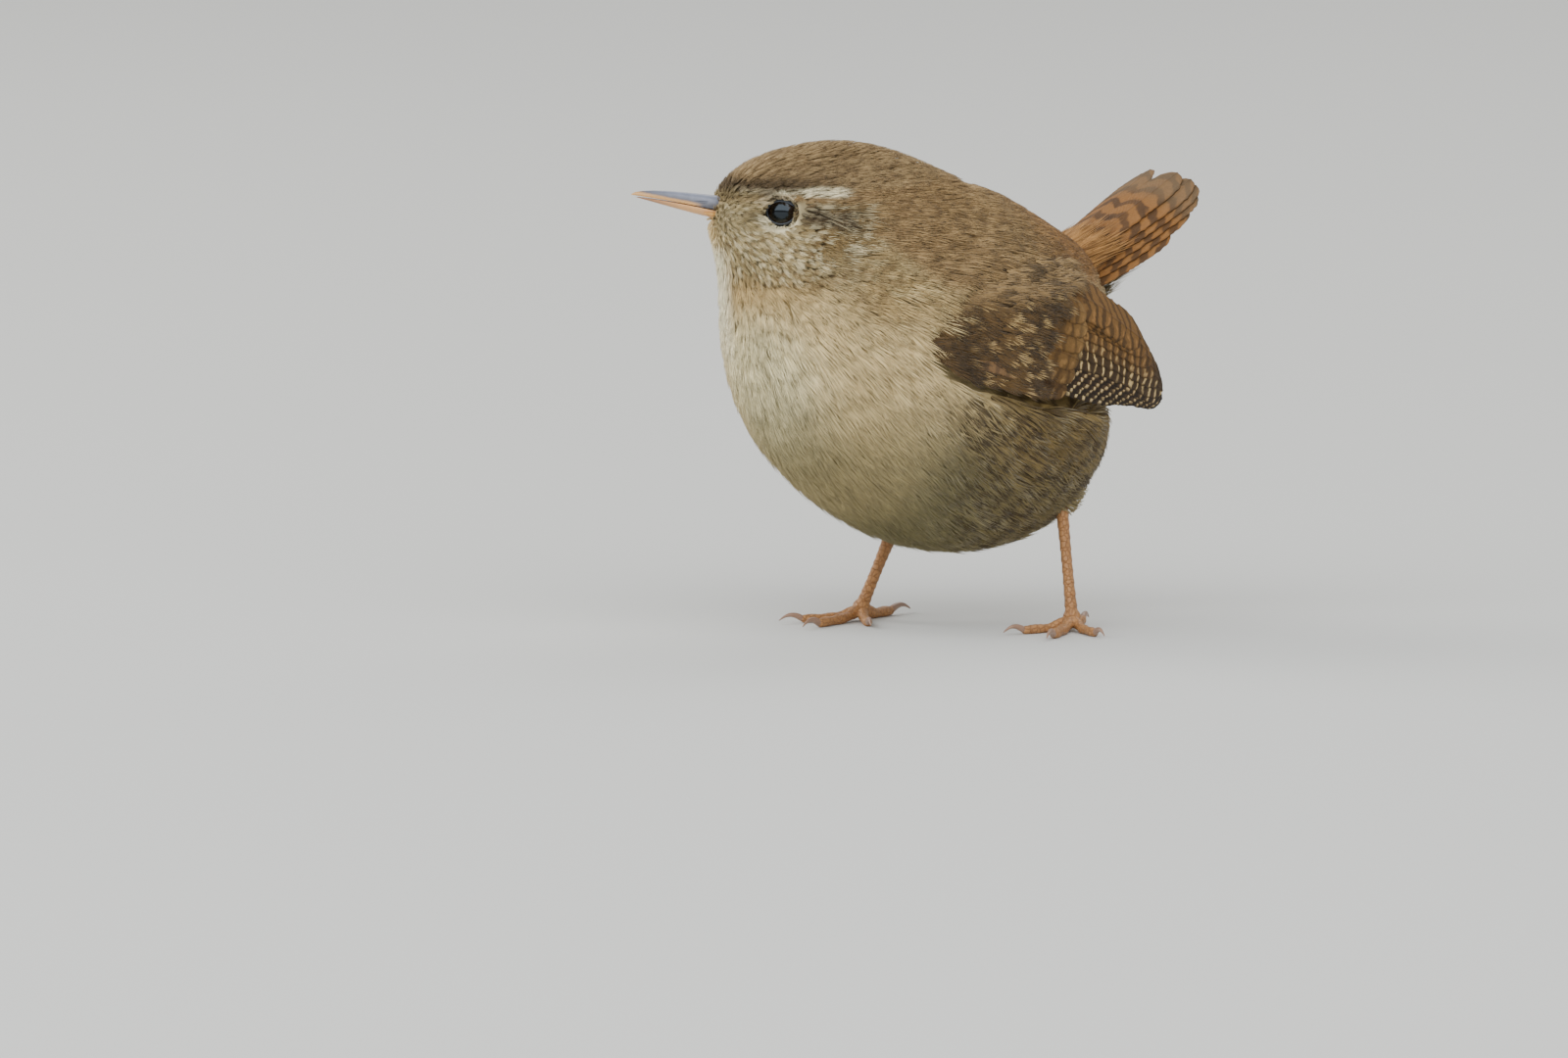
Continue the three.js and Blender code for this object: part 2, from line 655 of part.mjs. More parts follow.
// A toe with a pad under each joint. It is cut flat where it stands on the floor, and parted from
// the toes beside it along the lines halfway between them.
function makeToe(leg, toe) {
  const { at, axis } = toeLine(leg, toe);
  const rings = [];
  const steps = toe.joints * 4;
  for (let i = 0; i <= steps; i++) {
    const share = i / steps;
    const pad = 0.5 - 0.5 * Math.cos(share * toe.joints * 2 * Math.PI);
    const radius = toe.radius * mix(1.02, 0.8, share) * (0.88 + 0.2 * pad);
    rings.push(ringAt(at(share * toe.length), axis, radius, 1, 7));
  }
  let body = loft(rings).trimByPlane([0, 0, 1], 0);
  for (const other of TOES) {
    if (other === toe || Math.abs(other.turn - toe.turn) > 90) continue;
    const aside = axis.clone().sub(toeLine(leg, other).axis).normalize();
    body = body.trimByPlane(aside.toArray(), aside.dot(legFrame(leg).foot) + GAP / 2);
  }
  return body;
}

// A claw, curving down from the toe's end until its tip touches the floor.
function makeClaw(leg, toe) {
  const { at, axis } = toeLine(leg, toe);
  const start = at(toe.length);
  const rings = [];
  const steps = 6;
  const radius = toe.radius * 0.7;
  for (let i = 0; i <= steps; i++) {
    const share = i / steps;
    const point = start.clone().addScaledVector(axis, GAP + share * toe.claw);
    const arch = 0.75 * Math.sin(share * Math.PI * 0.85);
    point.z = mix(start.z, 0.12, share ** 2.2) + arch;
    const slope = share * 0.9 - 0.35;
    const along = axis.clone().multiplyScalar(Math.cos(slope)).addScaledVector(Z_AXIS, -Math.sin(slope));
    rings.push(ringAt(point, i === 0 ? axis : along, radius * mix(1, 0.12, share ** 1.2), 1.15, 6));
  }
  return loft(rings).trimByPlane([0, 0, 1], 0);
}

// The feathered thigh that comes down out of the belly, or with a margin the room that it needs.
function makeThigh(leg, margin) {
  const { foot, axis } = legFrame(leg);
  const rings = [
    [10.5 + margin, 4.4],
    [7, 4.2],
    [4, 3.5],
    [1.8, 2.6],
    [0, 1.5],
  ].map(([above, radius]) => {
    const centre = foot.clone().addScaledVector(axis, leg.bare + above);
    return ringAt(centre, axis, radius + margin, 1.1, 16);
  });
  return loft(rings);
}

// The whole bird

const wren = new THREE.Group();

function addNode(name, solid, colour) {
  const material = new THREE.MeshStandardMaterial({ ...COLOURS[colour], metalness: 0 });
  const mesh = new THREE.Mesh(geometryOf(solid), material);
  mesh.name = name;
  wren.add(mesh);
}

const bill = makeBill();
const wing = makeWing();
const clearOfBody = shell(TORSO_CENTRE, 9, (point) => plumage(point) - GAP);
const thighs = Object.values(LEGS).map((leg) => makeThigh(leg, GAP));
const rooms = [wingRoom(), mirrored(wingRoom()), ...thighs];
const makeRoom = (solid) => largest(rooms.reduce((left, room) => left.subtract(room), solid));

addNode("head", makeRoom(makeHead(bill)), "plumage");
addNode("neck", makeRoom(makeNeck()), "plumage");
addNode("torso", makeRoom(ahead(shell(TORSO_CENTRE, 9, plumage), NECK_CUT)), "breast");
addNode("bill_upper", bill.upper, "upperBill");
addNode("bill_lower", bill.lower, "lowerBill");
addNode("eye_left", ballAt(eyeFrame(1).centre, EYE_RADIUS, 3), "eye");
addNode("eye_right", ballAt(eyeFrame(-1).centre, EYE_RADIUS, 3), "eye");
addNode("wing_left", wing, "wing");
addNode("wing_right", mirrored(wing), "wing");
addNode("tail", largest(makeTail().subtract(clearOfBody)), "tail");

for (const [side, leg] of Object.entries(LEGS)) {
  const clearOfKnuckle = ballAt(legFrame(leg).foot, KNUCKLE + GAP, 3);
  addNode(`thigh_${side}`, makeThigh(leg, 0), "plumage");
  addNode(`tarsus_${side}`, makeTarsus(leg), "leg");
  for (const toe of TOES) {
    addNode(`${toe.name}_${side}`, largest(makeToe(leg, toe).subtract(clearOfKnuckle)), "leg");
    addNode(`claw_${toe.name}_${side}`, largest(makeClaw(leg, toe)), "claw");
  }
}

const box = new THREE.Box3().setFromObject(wren);
wren.position.set(-(box.min.x + box.max.x) / 2, -(box.min.y + box.max.y) / 2, -box.min.z);

export default wren;
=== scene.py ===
"""A wren on both feet, dressed over its fixed solids: plumage, flight feathers, bill, eyes and legs."""
import logging
import math
from dataclasses import dataclass, field
from enum import Enum
from typing import Callable, Optional, Sequence

import bpy
import numpy as np
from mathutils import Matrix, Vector
from mathutils.bvhtree import BVHTree


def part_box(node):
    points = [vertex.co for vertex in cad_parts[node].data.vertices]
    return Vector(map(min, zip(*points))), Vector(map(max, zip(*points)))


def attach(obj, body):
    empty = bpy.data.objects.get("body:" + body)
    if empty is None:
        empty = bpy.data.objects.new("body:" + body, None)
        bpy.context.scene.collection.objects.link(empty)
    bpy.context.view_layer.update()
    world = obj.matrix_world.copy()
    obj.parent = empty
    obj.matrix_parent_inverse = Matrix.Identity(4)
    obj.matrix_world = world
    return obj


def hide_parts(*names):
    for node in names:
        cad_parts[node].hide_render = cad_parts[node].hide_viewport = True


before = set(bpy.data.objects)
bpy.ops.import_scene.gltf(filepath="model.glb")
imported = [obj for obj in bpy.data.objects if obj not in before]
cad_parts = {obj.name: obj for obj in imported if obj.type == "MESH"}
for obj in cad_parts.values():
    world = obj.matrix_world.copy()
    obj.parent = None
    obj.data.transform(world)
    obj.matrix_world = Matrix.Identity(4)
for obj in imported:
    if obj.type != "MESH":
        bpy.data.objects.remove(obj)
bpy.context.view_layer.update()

LOG = logging.getLogger("wren")
MM = 0.001
Array = np.ndarray


# Measures


@dataclass(frozen=True)
class Pose:
    """Where the bird's named places are, in the model's own millimetres, and where they lie in the row frame."""

    head: tuple[float, float, float] = (-3.5, -12.5, 53.2)
    yaw: float = 34.0
    eye: tuple[float, float, float] = (7.2, -6.5, 4.0)
    eye_turn: float = 17.0
    bill: tuple[float, float, float] = (0.0, -15.2, 3.6)
    vent: tuple[float, float, float] = (0.0, 19.0, 22.0)
    tail: tuple[float, float, float] = (0.0, 17.0, 42.8)
    rise: float = 32.0

    @property
    def shift(self) -> Array:
        """What is added to the bird's own millimetres to reach the row frame's."""
        low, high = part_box("eye_left")
        seen = np.array((low + high) / 2) / MM
        return seen - self.from_head(np.array(self.eye))

    def from_head(self, point: Array) -> Array:
        """The bird's millimetres of points in the head's frame."""
        c, s = math.cos(math.radians(-self.yaw)), math.sin(math.radians(-self.yaw))
        turn = np.array([[c, -s, 0], [s, c, 0], [0, 0, 1]])
        return np.asarray(point, float) @ turn.T + np.array(self.head)

    def to_head(self, point: Array) -> Array:
        """The head's frame of points in the bird's millimetres: left, back, up."""
        c, s = math.cos(math.radians(self.yaw)), math.sin(math.radians(self.yaw))
        turn = np.array([[c, -s, 0], [s, c, 0], [0, 0, 1]])
        return (np.asarray(point, float) - np.array(self.head)) @ turn.T

    def eye_centre(self, side: int) -> Array:
        """The centre of an eye in the bird's millimetres; side is 1 for the left."""
        return self.from_head(np.array([self.eye[0] * side, self.eye[1], self.eye[2]]))

    def eye_axis(self, side: int) -> Array:
        """The way an eye looks, in the bird's frame."""
        a = math.radians(self.eye_turn)
        own = np.array([side * math.cos(a), -math.sin(a), 0.0])
        return self.from_head(own) - np.array(self.head)


POSE = Pose()
SHIFT = POSE.shift


def to_row(points: Array) -> Array:
    """Row-frame metres of points in the bird's millimetres."""
    return (np.asarray(points, float) + SHIFT) * MM


def to_bird(points: Array) -> Array:
    """The bird's millimetres of row-frame points."""
    return np.asarray(points, float) / MM - SHIFT


def unit(vectors: Array) -> Array:
    """Vectors along the last axis at length one."""
    return vectors / np.maximum(np.linalg.norm(vectors, axis=-1, keepdims=True), 1e-12)


def smooth(x: Array, low: float, high: float) -> Array:
    """A soft step from 0 at low to 1 at high."""
    t = np.clip((np.asarray(x, float) - low) / (high - low), 0.0, 1.0)
    return t * t * (3 - 2 * t)


def srgb(r: float, g: float, b: float) -> Array:
    """A linear colour from values of 0 to 255 on the screen."""
    c = np.array([r, g, b], float) / 255
    return np.where(c <= 0.04045, c / 12.92, ((c + 0.055) / 1.055) ** 2.4)


def blend_colour(a: Array, b: Array, weight: Array) -> Array:
    """Rows of colour a moved towards b by a weight for each row."""
    return a + (b - a) * np.asarray(weight)[..., None]


def wobble(points: Array, scale: float, seed: int) -> Array:
    """A soft, repeatable pattern of -1 to 1 over points in millimetres."""
    rng = np.random.default_rng(seed)
    total = np.zeros(len(points))
    for _ in range(6):
        way = unit(rng.normal(size=3)) * scale * rng.uniform(0.6, 1.5)
        total += np.sin(points @ way + rng.uniform(0, 6.28))
    return total / 2.6


# Plumage colours


class Tint(Enum):
    """The plumage's own colours, except BELLY, which is partly painted shade under the body."""

    CROWN = (160, 134, 94)
    CROWN_STREAK = (100, 76, 48)
    BACK = (164, 135, 92)
    BACK_BAR = (118, 92, 58)
    RUMP = (176, 130, 76)
    BROW = (238, 226, 190)
    EYE_STRIPE = (62, 47, 28)
    LORE = (160, 142, 100)
    CHEEK = (198, 178, 130)
    CHEEK_SPOT = (116, 92, 56)
    CHEEK_PALE = (232, 220, 182)
    EAR = (148, 124, 80)
    THROAT = (250, 240, 208)
    BREAST = (224, 200, 148)
    BREAST_PALE = (232, 221, 178)
    NECK_SIDE = (176, 148, 98)
    EYE_RING = (232, 222, 188)
    # Dull olive belly: partly its own tone, partly painted shade under the body.
    BELLY = (136, 126, 88)
    VENT = (188, 178, 148)
    FLANK = (136, 113, 66)
    FLANK_BAR = (62, 46, 26)
    SHOULDER = (92, 69, 37)
    COVERT_DARK = (56, 42, 24)
    COVERT_SPOT = (206, 174, 118)

    @property
    def linear(self) -> Array:
        """The colour in linear light."""
        return srgb(*self.value)

    def rows(self, count: int) -> Array:
        """The colour in linear light, once for each of some rows."""
        return np.tile(self.linear, (count, 1))


def dorsal(p: Array) -> Array:
    """How far points in the bird's millimetres belong to the brown upper side, from 0 to 1."""
    edge = 44.5 + 13.0 * smooth(-p[:, 1], 8, 20) + 1.2 * wobble(p, 0.35, 3)
    return smooth(p[:, 2] - edge, -2.5, 3.5)


def markings(p: Array, along: Array, draw: Array) -> Array:
    """Plumage colour where a feather grows.

    Args:
        p: Places in the bird's millimetres, one a row.
        along: The share of a feather's length, from root to tip.
        draw: A number of 0 to 1 for each feather.

    Returns:
        Linear colours, one a row.
    """
    patch = wobble(p, 0.55, 12)
    col = body_colours(p, along, draw)
    col = head_colours(col, p, along, draw)
    # Lighter towards each feather's tip: painted shade at the root, under the feathers above; draw and patch vary
    # the tone at random.
    shade = 0.90 + 0.13 * along + 0.14 * (draw - 0.5) + 0.05 * patch
    return np.clip(col * shade[:, None], 0.0, 1.0)


def body_colours(p: Array, along: Array, draw: Array) -> Array:
    """Colours of the body: buff breast, barred flanks, olive-brown back and rufous rump.

    Args:
        p: Places in the bird's millimetres, one a row.
        along: The share of a feather's length, from root to tip.
        draw: A number of 0 to 1 for each feather.

    Returns:
        Linear colours, one a row.
    """
    n = len(p)
    wide, back, high = np.abs(p[:, 0]), p[:, 1], p[:, 2]
    patch = wobble(p, 0.55, 12)
    col = Tint.BREAST.rows(n)
    heart = np.hypot((p[:, 0] + 2.0) / 13.0, (high - 35.0) / np.where(high > 35, 8.0, 14.0))
    col = blend_colour(col, Tint.BREAST_PALE.linear, 0.9 * smooth(1.3 - heart, 0, 0.9) * smooth(-back, 4, 13))
    rear = 0.643 * wide + 0.766 * back
    # Darker towards the underside: the belly's own duller tone together with painted shade under the body.
    col = blend_colour(col, Tint.BELLY.linear, smooth(36 - high, 0, 15) * (1 - 0.35 * smooth(-back, 6, 14)))
    low = 1 - 0.45 * smooth(25 - high, 0, 7)
    col = blend_colour(col, Tint.FLANK.linear, 0.92 * low * smooth(rear, 3, 17) * smooth(45 - high, 0, 8))
    vent = smooth(back, 12, 20) * smooth(28 - high, 0, 8) * smooth(17 - wide, 0, 9)
    col = blend_colour(col, Tint.VENT.linear, 0.75 * vent)
    run = 0.72 * back - 0.62 * high + 0.35 * wide
    wave = np.sin(run * 2.3 + 1.5 * wobble(p, 0.36, 31) + 0.7 * (draw - 0.5))
    bars = smooth(wave, -0.1, 0.7) * smooth(rear, 1, 10) * smooth(37 - high, 0, 7) * (1 - 0.4 * vent)
    col = blend_colour(col, Tint.FLANK_BAR.linear, 0.85 * bars * (0.6 + 0.4 * smooth(patch, -1.2, 0.3)))
    fleck = smooth(draw, 0.78, 0.9) * smooth(along, 0.3, 0.8) * smooth(rear, -4, 8) * smooth(40 - high, 0, 8)
    col = blend_colour(col, Tint.VENT.linear, 0.35 * fleck)

    brown = blend_colour(Tint.BACK.rows(n), Tint.RUMP.linear, smooth(back, 6, 19))
    streak = smooth(np.sin(draw * 40.0), -0.2, 0.8) * (0.35 + 0.4 * along)
    brown = blend_colour(brown, Tint.BACK_BAR.linear, 0.75 * streak + 0.2 * smooth(patch, -0.2, 1))
    bar = smooth(np.sin(back * 2.6 - high * 0.9 + 2.0 * draw + patch), 0.2, 0.9) * smooth(back, 4, 14)
    brown = blend_colour(brown, Tint.BACK_BAR.linear, 0.55 * bar)
    return blend_colour(col, brown, dorsal(p))


def head_colours(col: Array, p: Array, along: Array, draw: Array) -> Array:
    """Lays the head's markings over the body's: crown, brow, stripe behind the eye, cheek and throat.

    Args:
        col: The body's colours there.
        p: Places in the bird's millimetres, one a row.
        along: The share of a feather's length, from root to tip.
        draw: A number of 0 to 1 for each feather.

    Returns:
        Linear colours, one a row.
    """
    h = POSE.to_head(p)
    side, back, up = np.abs(h[:, 0]), h[:, 1], h[:, 2]
    n = len(p)
    near = 1 - smooth(np.linalg.norm(h, axis=1), 15.5, 20.0)
    tick = np.sin(draw * 97.0)

    neck = smooth(side, 5, 10) * smooth(back, -3, 6) * smooth(p[:, 2], 37, 46) * (1 - dorsal(p))
    spotted = blend_colour(Tint.NECK_SIDE.rows(n), Tint.CHEEK_SPOT.linear, 0.7 * smooth(tick, 0.2, 0.8))
    spotted = blend_colour(spotted, Tint.CHEEK.linear, 0.75 * smooth(-tick, 0.5, 0.9))
    col = blend_colour(col, spotted, 0.85 * neck)

    streak = 0.55 * smooth(tick, 0.0, 0.8) * (0.4 + 0.6 * along)
    crown = blend_colour(Tint.CROWN.rows(n), Tint.CROWN_STREAK.linear, streak)
    crown = blend_colour(crown, Tint.EYE_STRIPE.linear, 0.8 * smooth(9.2 - up, 0, 1.4) * smooth(-back, -4, 6))
    col = blend_colour(col, crown, near * smooth(up - (6.5 + 0.05 * back), -0.3, 0.5))

    area = near * smooth(5.6 - up, -0.3, 0.9) * smooth(up, -8.5, -5.0) * smooth(side, 2.0, 5.0)
    ear = smooth(back, -5.5, -1.5)
    ground = blend_colour(Tint.CHEEK.rows(n), Tint.EAR.linear, ear * smooth(up, -5, 0))
    arc = np.sin(np.hypot(back + 14.0, up - 3.0) * 3.9 + 1.5 * wobble(p, 1.3, 9))
    dusky = 0.45 * smooth(tick, 0.25, 0.75) + 0.4 * smooth(arc, 0.1, 0.8)
    mottle = blend_colour(ground, Tint.CHEEK_SPOT.linear, dusky)
    mottle = blend_colour(mottle, Tint.CHEEK_PALE.linear, 0.7 * smooth(-tick, 0.4, 0.8) * (0.4 + 0.6 * along))
    col = blend_colour(col, mottle, area * smooth(7 - back, -2, 4))
    smear = near * np.exp(-(((up + 4.9 - 0.2 * back) / 1.2) ** 2)) * smooth(side, 4, 7) * smooth(back, -7, -2)
    col = blend_colour(col, Tint.CHEEK_SPOT.linear, 0.6 * smear)
    warm = near * np.exp(-(((up + 7.5) / 2.2) ** 2)) * smooth(side, 2, 6)
    col = blend_colour(col, srgb(196, 160, 100), 0.55 * warm)

    lore = near * smooth(-back, 8.5, 10.5) * smooth(up, 0.5, 2) * smooth(7.6 - up, 0, 1.2) * smooth(side, 1.0, 2.4)
    col = blend_colour(col, Tint.LORE.linear, 0.8 * lore * (0.75 + 0.25 * tick))
    thick = 0.42 + 0.26 * smooth(back, -6, -1)
    band = np.exp(-(((up - (6.65 - 0.03 * back)) / thick) ** 4)) * smooth(side, 3.0, 4.6)
    strength = 0.16 + 0.84 * smooth(back, -7, -2)
    band = near * band * strength * smooth(back, -13.6, -12) * smooth(3.4 - back, 0, 2)
    col = blend_colour(col, Tint.BROW.linear, band)
    stripe = np.exp(-(((up - 3.9 + 0.16 * (back + 4)) / 1.55) ** 4))
    stripe = stripe * smooth(back, -5.4, -4.2) * smooth(6.5 - back, 0, 4.5)
    col = blend_colour(col, Tint.EYE_STRIPE.linear, near * 0.95 * stripe * (0.82 + 0.18 * tick))
    front = np.exp(-(((up - 3.6) / 0.8) ** 2)) * smooth(-back, 8.6, 9.4)
    front = front * smooth(12.5 + back, 0, 2) * smooth(side, 3, 5)
    col = blend_colour(col, Tint.EYE_STRIPE.linear, near * 0.5 * front)
    chin = smooth(-up, 0.0, 3) * smooth(-back, 3, 9) * smooth(6.5 - side, 0, 4)
    chin = chin * (1 - smooth(np.linalg.norm(h, axis=1), 18.0, 24.0))
    col = blend_colour(col, Tint.THROAT.linear, 0.95 * chin)
    for eye in (1, -1):
        off = p - POSE.eye_centre(eye)
        axis = POSE.eye_axis(eye)
        ahead = off @ axis
        radial = np.linalg.norm(off - ahead[:, None] * axis, axis=1)
        tall = off[:, 2] / np.maximum(radial, 0.1)
        ring = smooth(3.0 - radial, 0, 0.5) * (ahead > 0)
        ring = ring * (smooth(-tall, 0.1, 0.5) + 0.45 * smooth(tall, 0.3, 0.6))
        col = blend_colour(col, Tint.EYE_RING.linear, 0.7 * ring)
    return col


def shoulder_colours(p: Array, along: Array, draw: Array) -> Array:
    """Colours of the small feathers over a wing's arm, in the way of markings.

    Args:
        p: Places in the bird's millimetres, one a row.
        along: The share of a feather's length, from root to tip.
        draw: A number of 0 to 1 for each feather.

    Returns:
        Linear colours, one a row.
    """
    col = Tint.BACK.rows(len(p))
    col = blend_colour(col, Tint.SHOULDER.linear, smooth(49 - p[:, 2], 0, 6))
    col = blend_colour(col, Tint.COVERT_DARK.linear, 0.7 * smooth(np.sin(draw * 55.0), 0.0, 0.9))
    low = smooth(47 - p[:, 2], 0, 3)
    pale = smooth(np.sin(draw * 131.0), 0.72, 0.9) * smooth(along, 0.5, 0.8) * smooth(p[:, 1], -10, -5) * low
    col = blend_colour(col, Tint.COVERT_SPOT.linear, 0.8 * pale)
    # Lighter towards each feather's tip: painted shade at the root, under the feathers above; draw varies the tone
    # at random.
    shade = 0.82 + 0.22 * along + 0.18 * (draw - 0.5)
    return np.clip(col * shade[:, None], 0.0, 1.0)


def undertail_colours(p: Array, along: Array, draw: Array) -> Array:
    """Colours of the feathers under the tail's root: buff with dark bars and whitish tips.

    Args:
        p: Places in the bird's millimetres, one a row.
        along: The share of a feather's length, from root to tip.
        draw: A number of 0 to 1 for each feather.

    Returns:
        Linear colours, one a row.
    """
    col = np.tile(srgb(196, 180, 140), (len(p), 1))
    col = blend_colour(col, Tint.FLANK_BAR.linear, 0.5 * smooth(np.sin(along * 14.0 + draw * 5.0), 0.1, 0.7))
    col = blend_colour(col, srgb(224, 216, 190), smooth(along, 0.8, 0.95) * smooth(draw, 0.25, 0.5))
    return np.clip(col * (0.86 + 0.25 * (draw - 0.5))[:, None], 0.0, 1.0)


def rump_colours(p: Array, along: Array, draw: Array) -> Array:
    """Colours of the feathers over the tail's root: rufous with faint darker bars.

    Args:
        p: Places in the bird's millimetres, one a row.
        along: The share of a feather's length, from root to tip.
        draw: A number of 0 to 1 for each feather.

    Returns:
        Linear colours, one a row.
    """
    col = Tint.RUMP.rows(len(p))
    col = blend_colour(col, srgb(104, 72, 40), 0.6 * smooth(np.sin(along * 11.0 + draw * 5.0), 0.1, 0.8))
    # Lighter towards each feather's tip: painted shade at the root, under the feathers above; draw varies the tone
    # at random.
    return np.clip(col * (0.82 + 0.18 * along + 0.25 * (draw - 0.5))[:, None], 0.0, 1.0)


def ring_colours(p: Array, along: Array, draw: Array) -> Array:
    """Colours of the tiny feathers round the eye.

    Args:
        p: Places in the bird's millimetres, one a row.
        along: The share of a feather's length, which these colours don't use.
        draw: A number of 0 to 1 for each feather.

    Returns:
        Linear colours, one a row.
    """
    col = Tint.EYE_RING.rows(len(p))
    return np.clip(col * (0.95 + 0.35 * (draw - 0.5))[:, None], 0.0, 1.0)


# Node graphs


@dataclass
class Wire:
    """A node socket that takes part in sums, so that shader maths reads as maths."""

    tree: bpy.types.NodeTree
    socket: bpy.types.NodeSocket

    def _math(self, operation: str, *others: object, swap: bool = False) -> "Wire":
        """A Math node over this wire and others."""
        node = self.tree.nodes.new("ShaderNodeMath")
        node.operation = operation
        terms = [self, *others]
        if swap:
            terms.reverse()
        for slot_in, term in zip(node.inputs, terms):
            feed(self.tree, slot_in, term)
        return Wire(self.tree, node.outputs[0])

    def __add__(self, other: object) -> "Wire":
        """The sum."""
        return self._math("ADD", other)

    def __radd__(self, other: object) -> "Wire":
        """The sum."""
        return self._math("ADD", other)

    def __sub__(self, other: object) -> "Wire":
        """The difference."""
        return self._math("SUBTRACT", other)

    def __rsub__(self, other: object) -> "Wire":
        """The difference the other way."""
        return self._math("SUBTRACT", other, swap=True)

    def __mul__(self, other: object) -> "Wire":
        """The product."""
        return self._math("MULTIPLY", other)

    def __rmul__(self, other: object) -> "Wire":
        """The product."""
        return self._math("MULTIPLY", other)

    def __truediv__(self, other: object) -> "Wire":
        """The quotient."""
        return self._math("DIVIDE", other)

    def sin(self) -> "Wire":
        """The sine."""
        return self._math("SINE")

    def abs(self) -> "Wire":
        """The size without its sign."""
        return self._math("ABSOLUTE")

    def power(self, exponent: object) -> "Wire":
        """This wire to a power."""
        return self._math("POWER", exponent)

    def step(self, low: float, high: float) -> "Wire":
        """A soft step from 0 at low to 1 at high."""
        node = self.tree.nodes.new("ShaderNodeMapRange")
        node.interpolation_type = "SMOOTHSTEP"
        feed(self.tree, node.inputs["Value"], self)
        node.inputs["From Min"].default_value = low
        node.inputs["From Max"].default_value = high
        return Wire(self.tree, node.outputs["Result"])


def feed(tree: bpy.types.NodeTree, socket: bpy.types.NodeSocket, value: object) -> None:
    """Links a wire to a socket, or sets the socket to a plain value.

    Args:
        tree: The tree that the socket is in.
        socket: The input.
        value: A wire, a number, or a colour of three or four numbers.
    """
    if isinstance(value, Wire):
        tree.links.new(value.socket, socket)
    elif isinstance(value, (int, float)):
        socket.default_value = float(value)
    else:
        numbers = [float(v) for v in value]
        socket.default_value = numbers + [1.0] if len(numbers) == 3 and len(socket.default_value) == 4 else numbers


class Dye:
    """A material under construction, with one Principled surface."""

    def __init__(self, name: str, roughness: float, **constants: float) -> None:
        """Starts a material.

        Args:
            name: The material's name.
            roughness: The surface's roughness, where no wire sets it.
            constants: Values of the surface's own sockets, with underlines for spaces.
        """
        self.material = bpy.data.materials.new(name)
        self.material.use_nodes = True
        self.tree = self.material.node_tree
        self.tree.nodes.clear()
        self.surface = self.tree.nodes.new("ShaderNodeBsdfPrincipled")
        out = self.tree.nodes.new("ShaderNodeOutputMaterial")
        self.tree.links.new(self.surface.outputs[0], out.inputs[0])
        self.surface.inputs["Roughness"].default_value = roughness
        for key, value in constants.items():
            feed(self.tree, self.surface.inputs[key.replace("_", " ")], value)

    def node(self, kind: str, output: object = 0, inputs: Optional[dict] = None, **settings: object) -> Wire:
        """Any other node.

        Args:
            kind: The node's type without its ShaderNode start.
            output: The output that the wire is taken from.
            inputs: Values or wires by input name or number.
            settings: The node's own properties.

        Returns:
            The wire from the output.
        """
        made = self.tree.nodes.new("ShaderNode" + kind)
        for key, value in settings.items():
            setattr(made, key, value)
        for key, value in (inputs or {}).items():
            feed(self.tree, made.inputs[key], value)
        return Wire(self.tree, made.outputs[output])

    def place(self) -> Wire:
        """Object coordinates."""
        return self.node("TexCoord", "Object")

    def noise(self, scale: float, detail: float = 3.0, at: Optional[Wire] = None) -> Wire:
        """A noise of 0 to 1 over the object's own place."""
        where = at if at is not None else self.place()
        return self.node("TexNoise", 0, {"Vector": where, "Scale": scale, "Detail": detail})

    def attribute(self, name: str, output: str = "Color") -> Wire:
        """A value stored on the mesh."""
        return self.node("Attribute", output, attribute_name=name)

    def parts(self, wire: Wire) -> tuple[Wire, Wire, Wire]:
        """The three numbers of a vector."""
        split = self.tree.nodes.new("ShaderNodeSeparateXYZ")
        feed(self.tree, split.inputs[0], wire)
        return tuple(Wire(self.tree, out) for out in split.outputs)

    def mix(self, a: object, b: object, weight: object, mode: str = "MIX") -> Wire:
        """Two colours mixed by a weight."""
        node = self.tree.nodes.new("ShaderNodeMix")
        node.data_type = "RGBA"
        node.blend_type = mode
        feed(self.tree, node.inputs["Factor"], weight)
        feed(self.tree, node.inputs[6], a)
        feed(self.tree, node.inputs[7], b)
        return Wire(self.tree, node.outputs[2])

    def scaled(self, colour: Wire, factor: Wire) -> Wire:
        """A colour made lighter or darker."""
        node = self.tree.nodes.new("ShaderNodeVectorMath")
        node.operation = "SCALE"
        feed(self.tree, node.inputs[0], colour)
        feed(self.tree, node.inputs["Scale"], factor)
        return Wire(self.tree, node.outputs[0])

    def colour(self, wire: object) -> "Dye":
        """Sets the base colour."""
        feed(self.tree, self.surface.inputs["Base Color"], wire)
        return self

    def rough(self, wire: Wire) -> "Dye":
        """Sets a varying roughness."""
        feed(self.tree, self.surface.inputs["Roughness"], wire)
        return self

    def bump(self, height: Wire, distance: float, strength: float = 1.0) -> "Dye":
        """Lets a height roughen the surface, with distance in metres."""
        normal = self.node("Bump", 0, {"Height": height, "Distance": distance, "Strength": strength})
        feed(self.tree, self.surface.inputs["Normal"], normal)
        return self


@dataclass(frozen=True)
class DownFinish:
    """Soft body plumage, whose colour is stored with each feather."""

    name: str = "soft body plumage"
    roughness: float = 0.82
    sheen: float = 0.08

    def make(self) -> bpy.types.Material:
        """Builds the material."""
        dye = Dye(self.name, self.roughness, Sheen_Weight=self.sheen, Sheen_Roughness=0.5, Specular_IOR_Level=0.25)
        grain = dye.noise(900.0, 2.0) * 0.34 + 0.83
        return dye.colour(dye.scaled(dye.attribute("tint"), grain)).material


@dataclass(frozen=True)
class SkinFinish:
    """The skin under the coat, in the same markings and a little darker."""

    name: str = "skin under the plumage"

    def make(self) -> bpy.types.Material:
        """Builds the material."""
        dye = Dye(self.name, 0.9, Specular_IOR_Level=0.15)
        grain = dye.noise(1400.0, 3.0)
        dye.colour(dye.scaled(dye.attribute("tint"), grain * 0.3 + 0.8))
        return dye.bump(grain, 0.0002).material


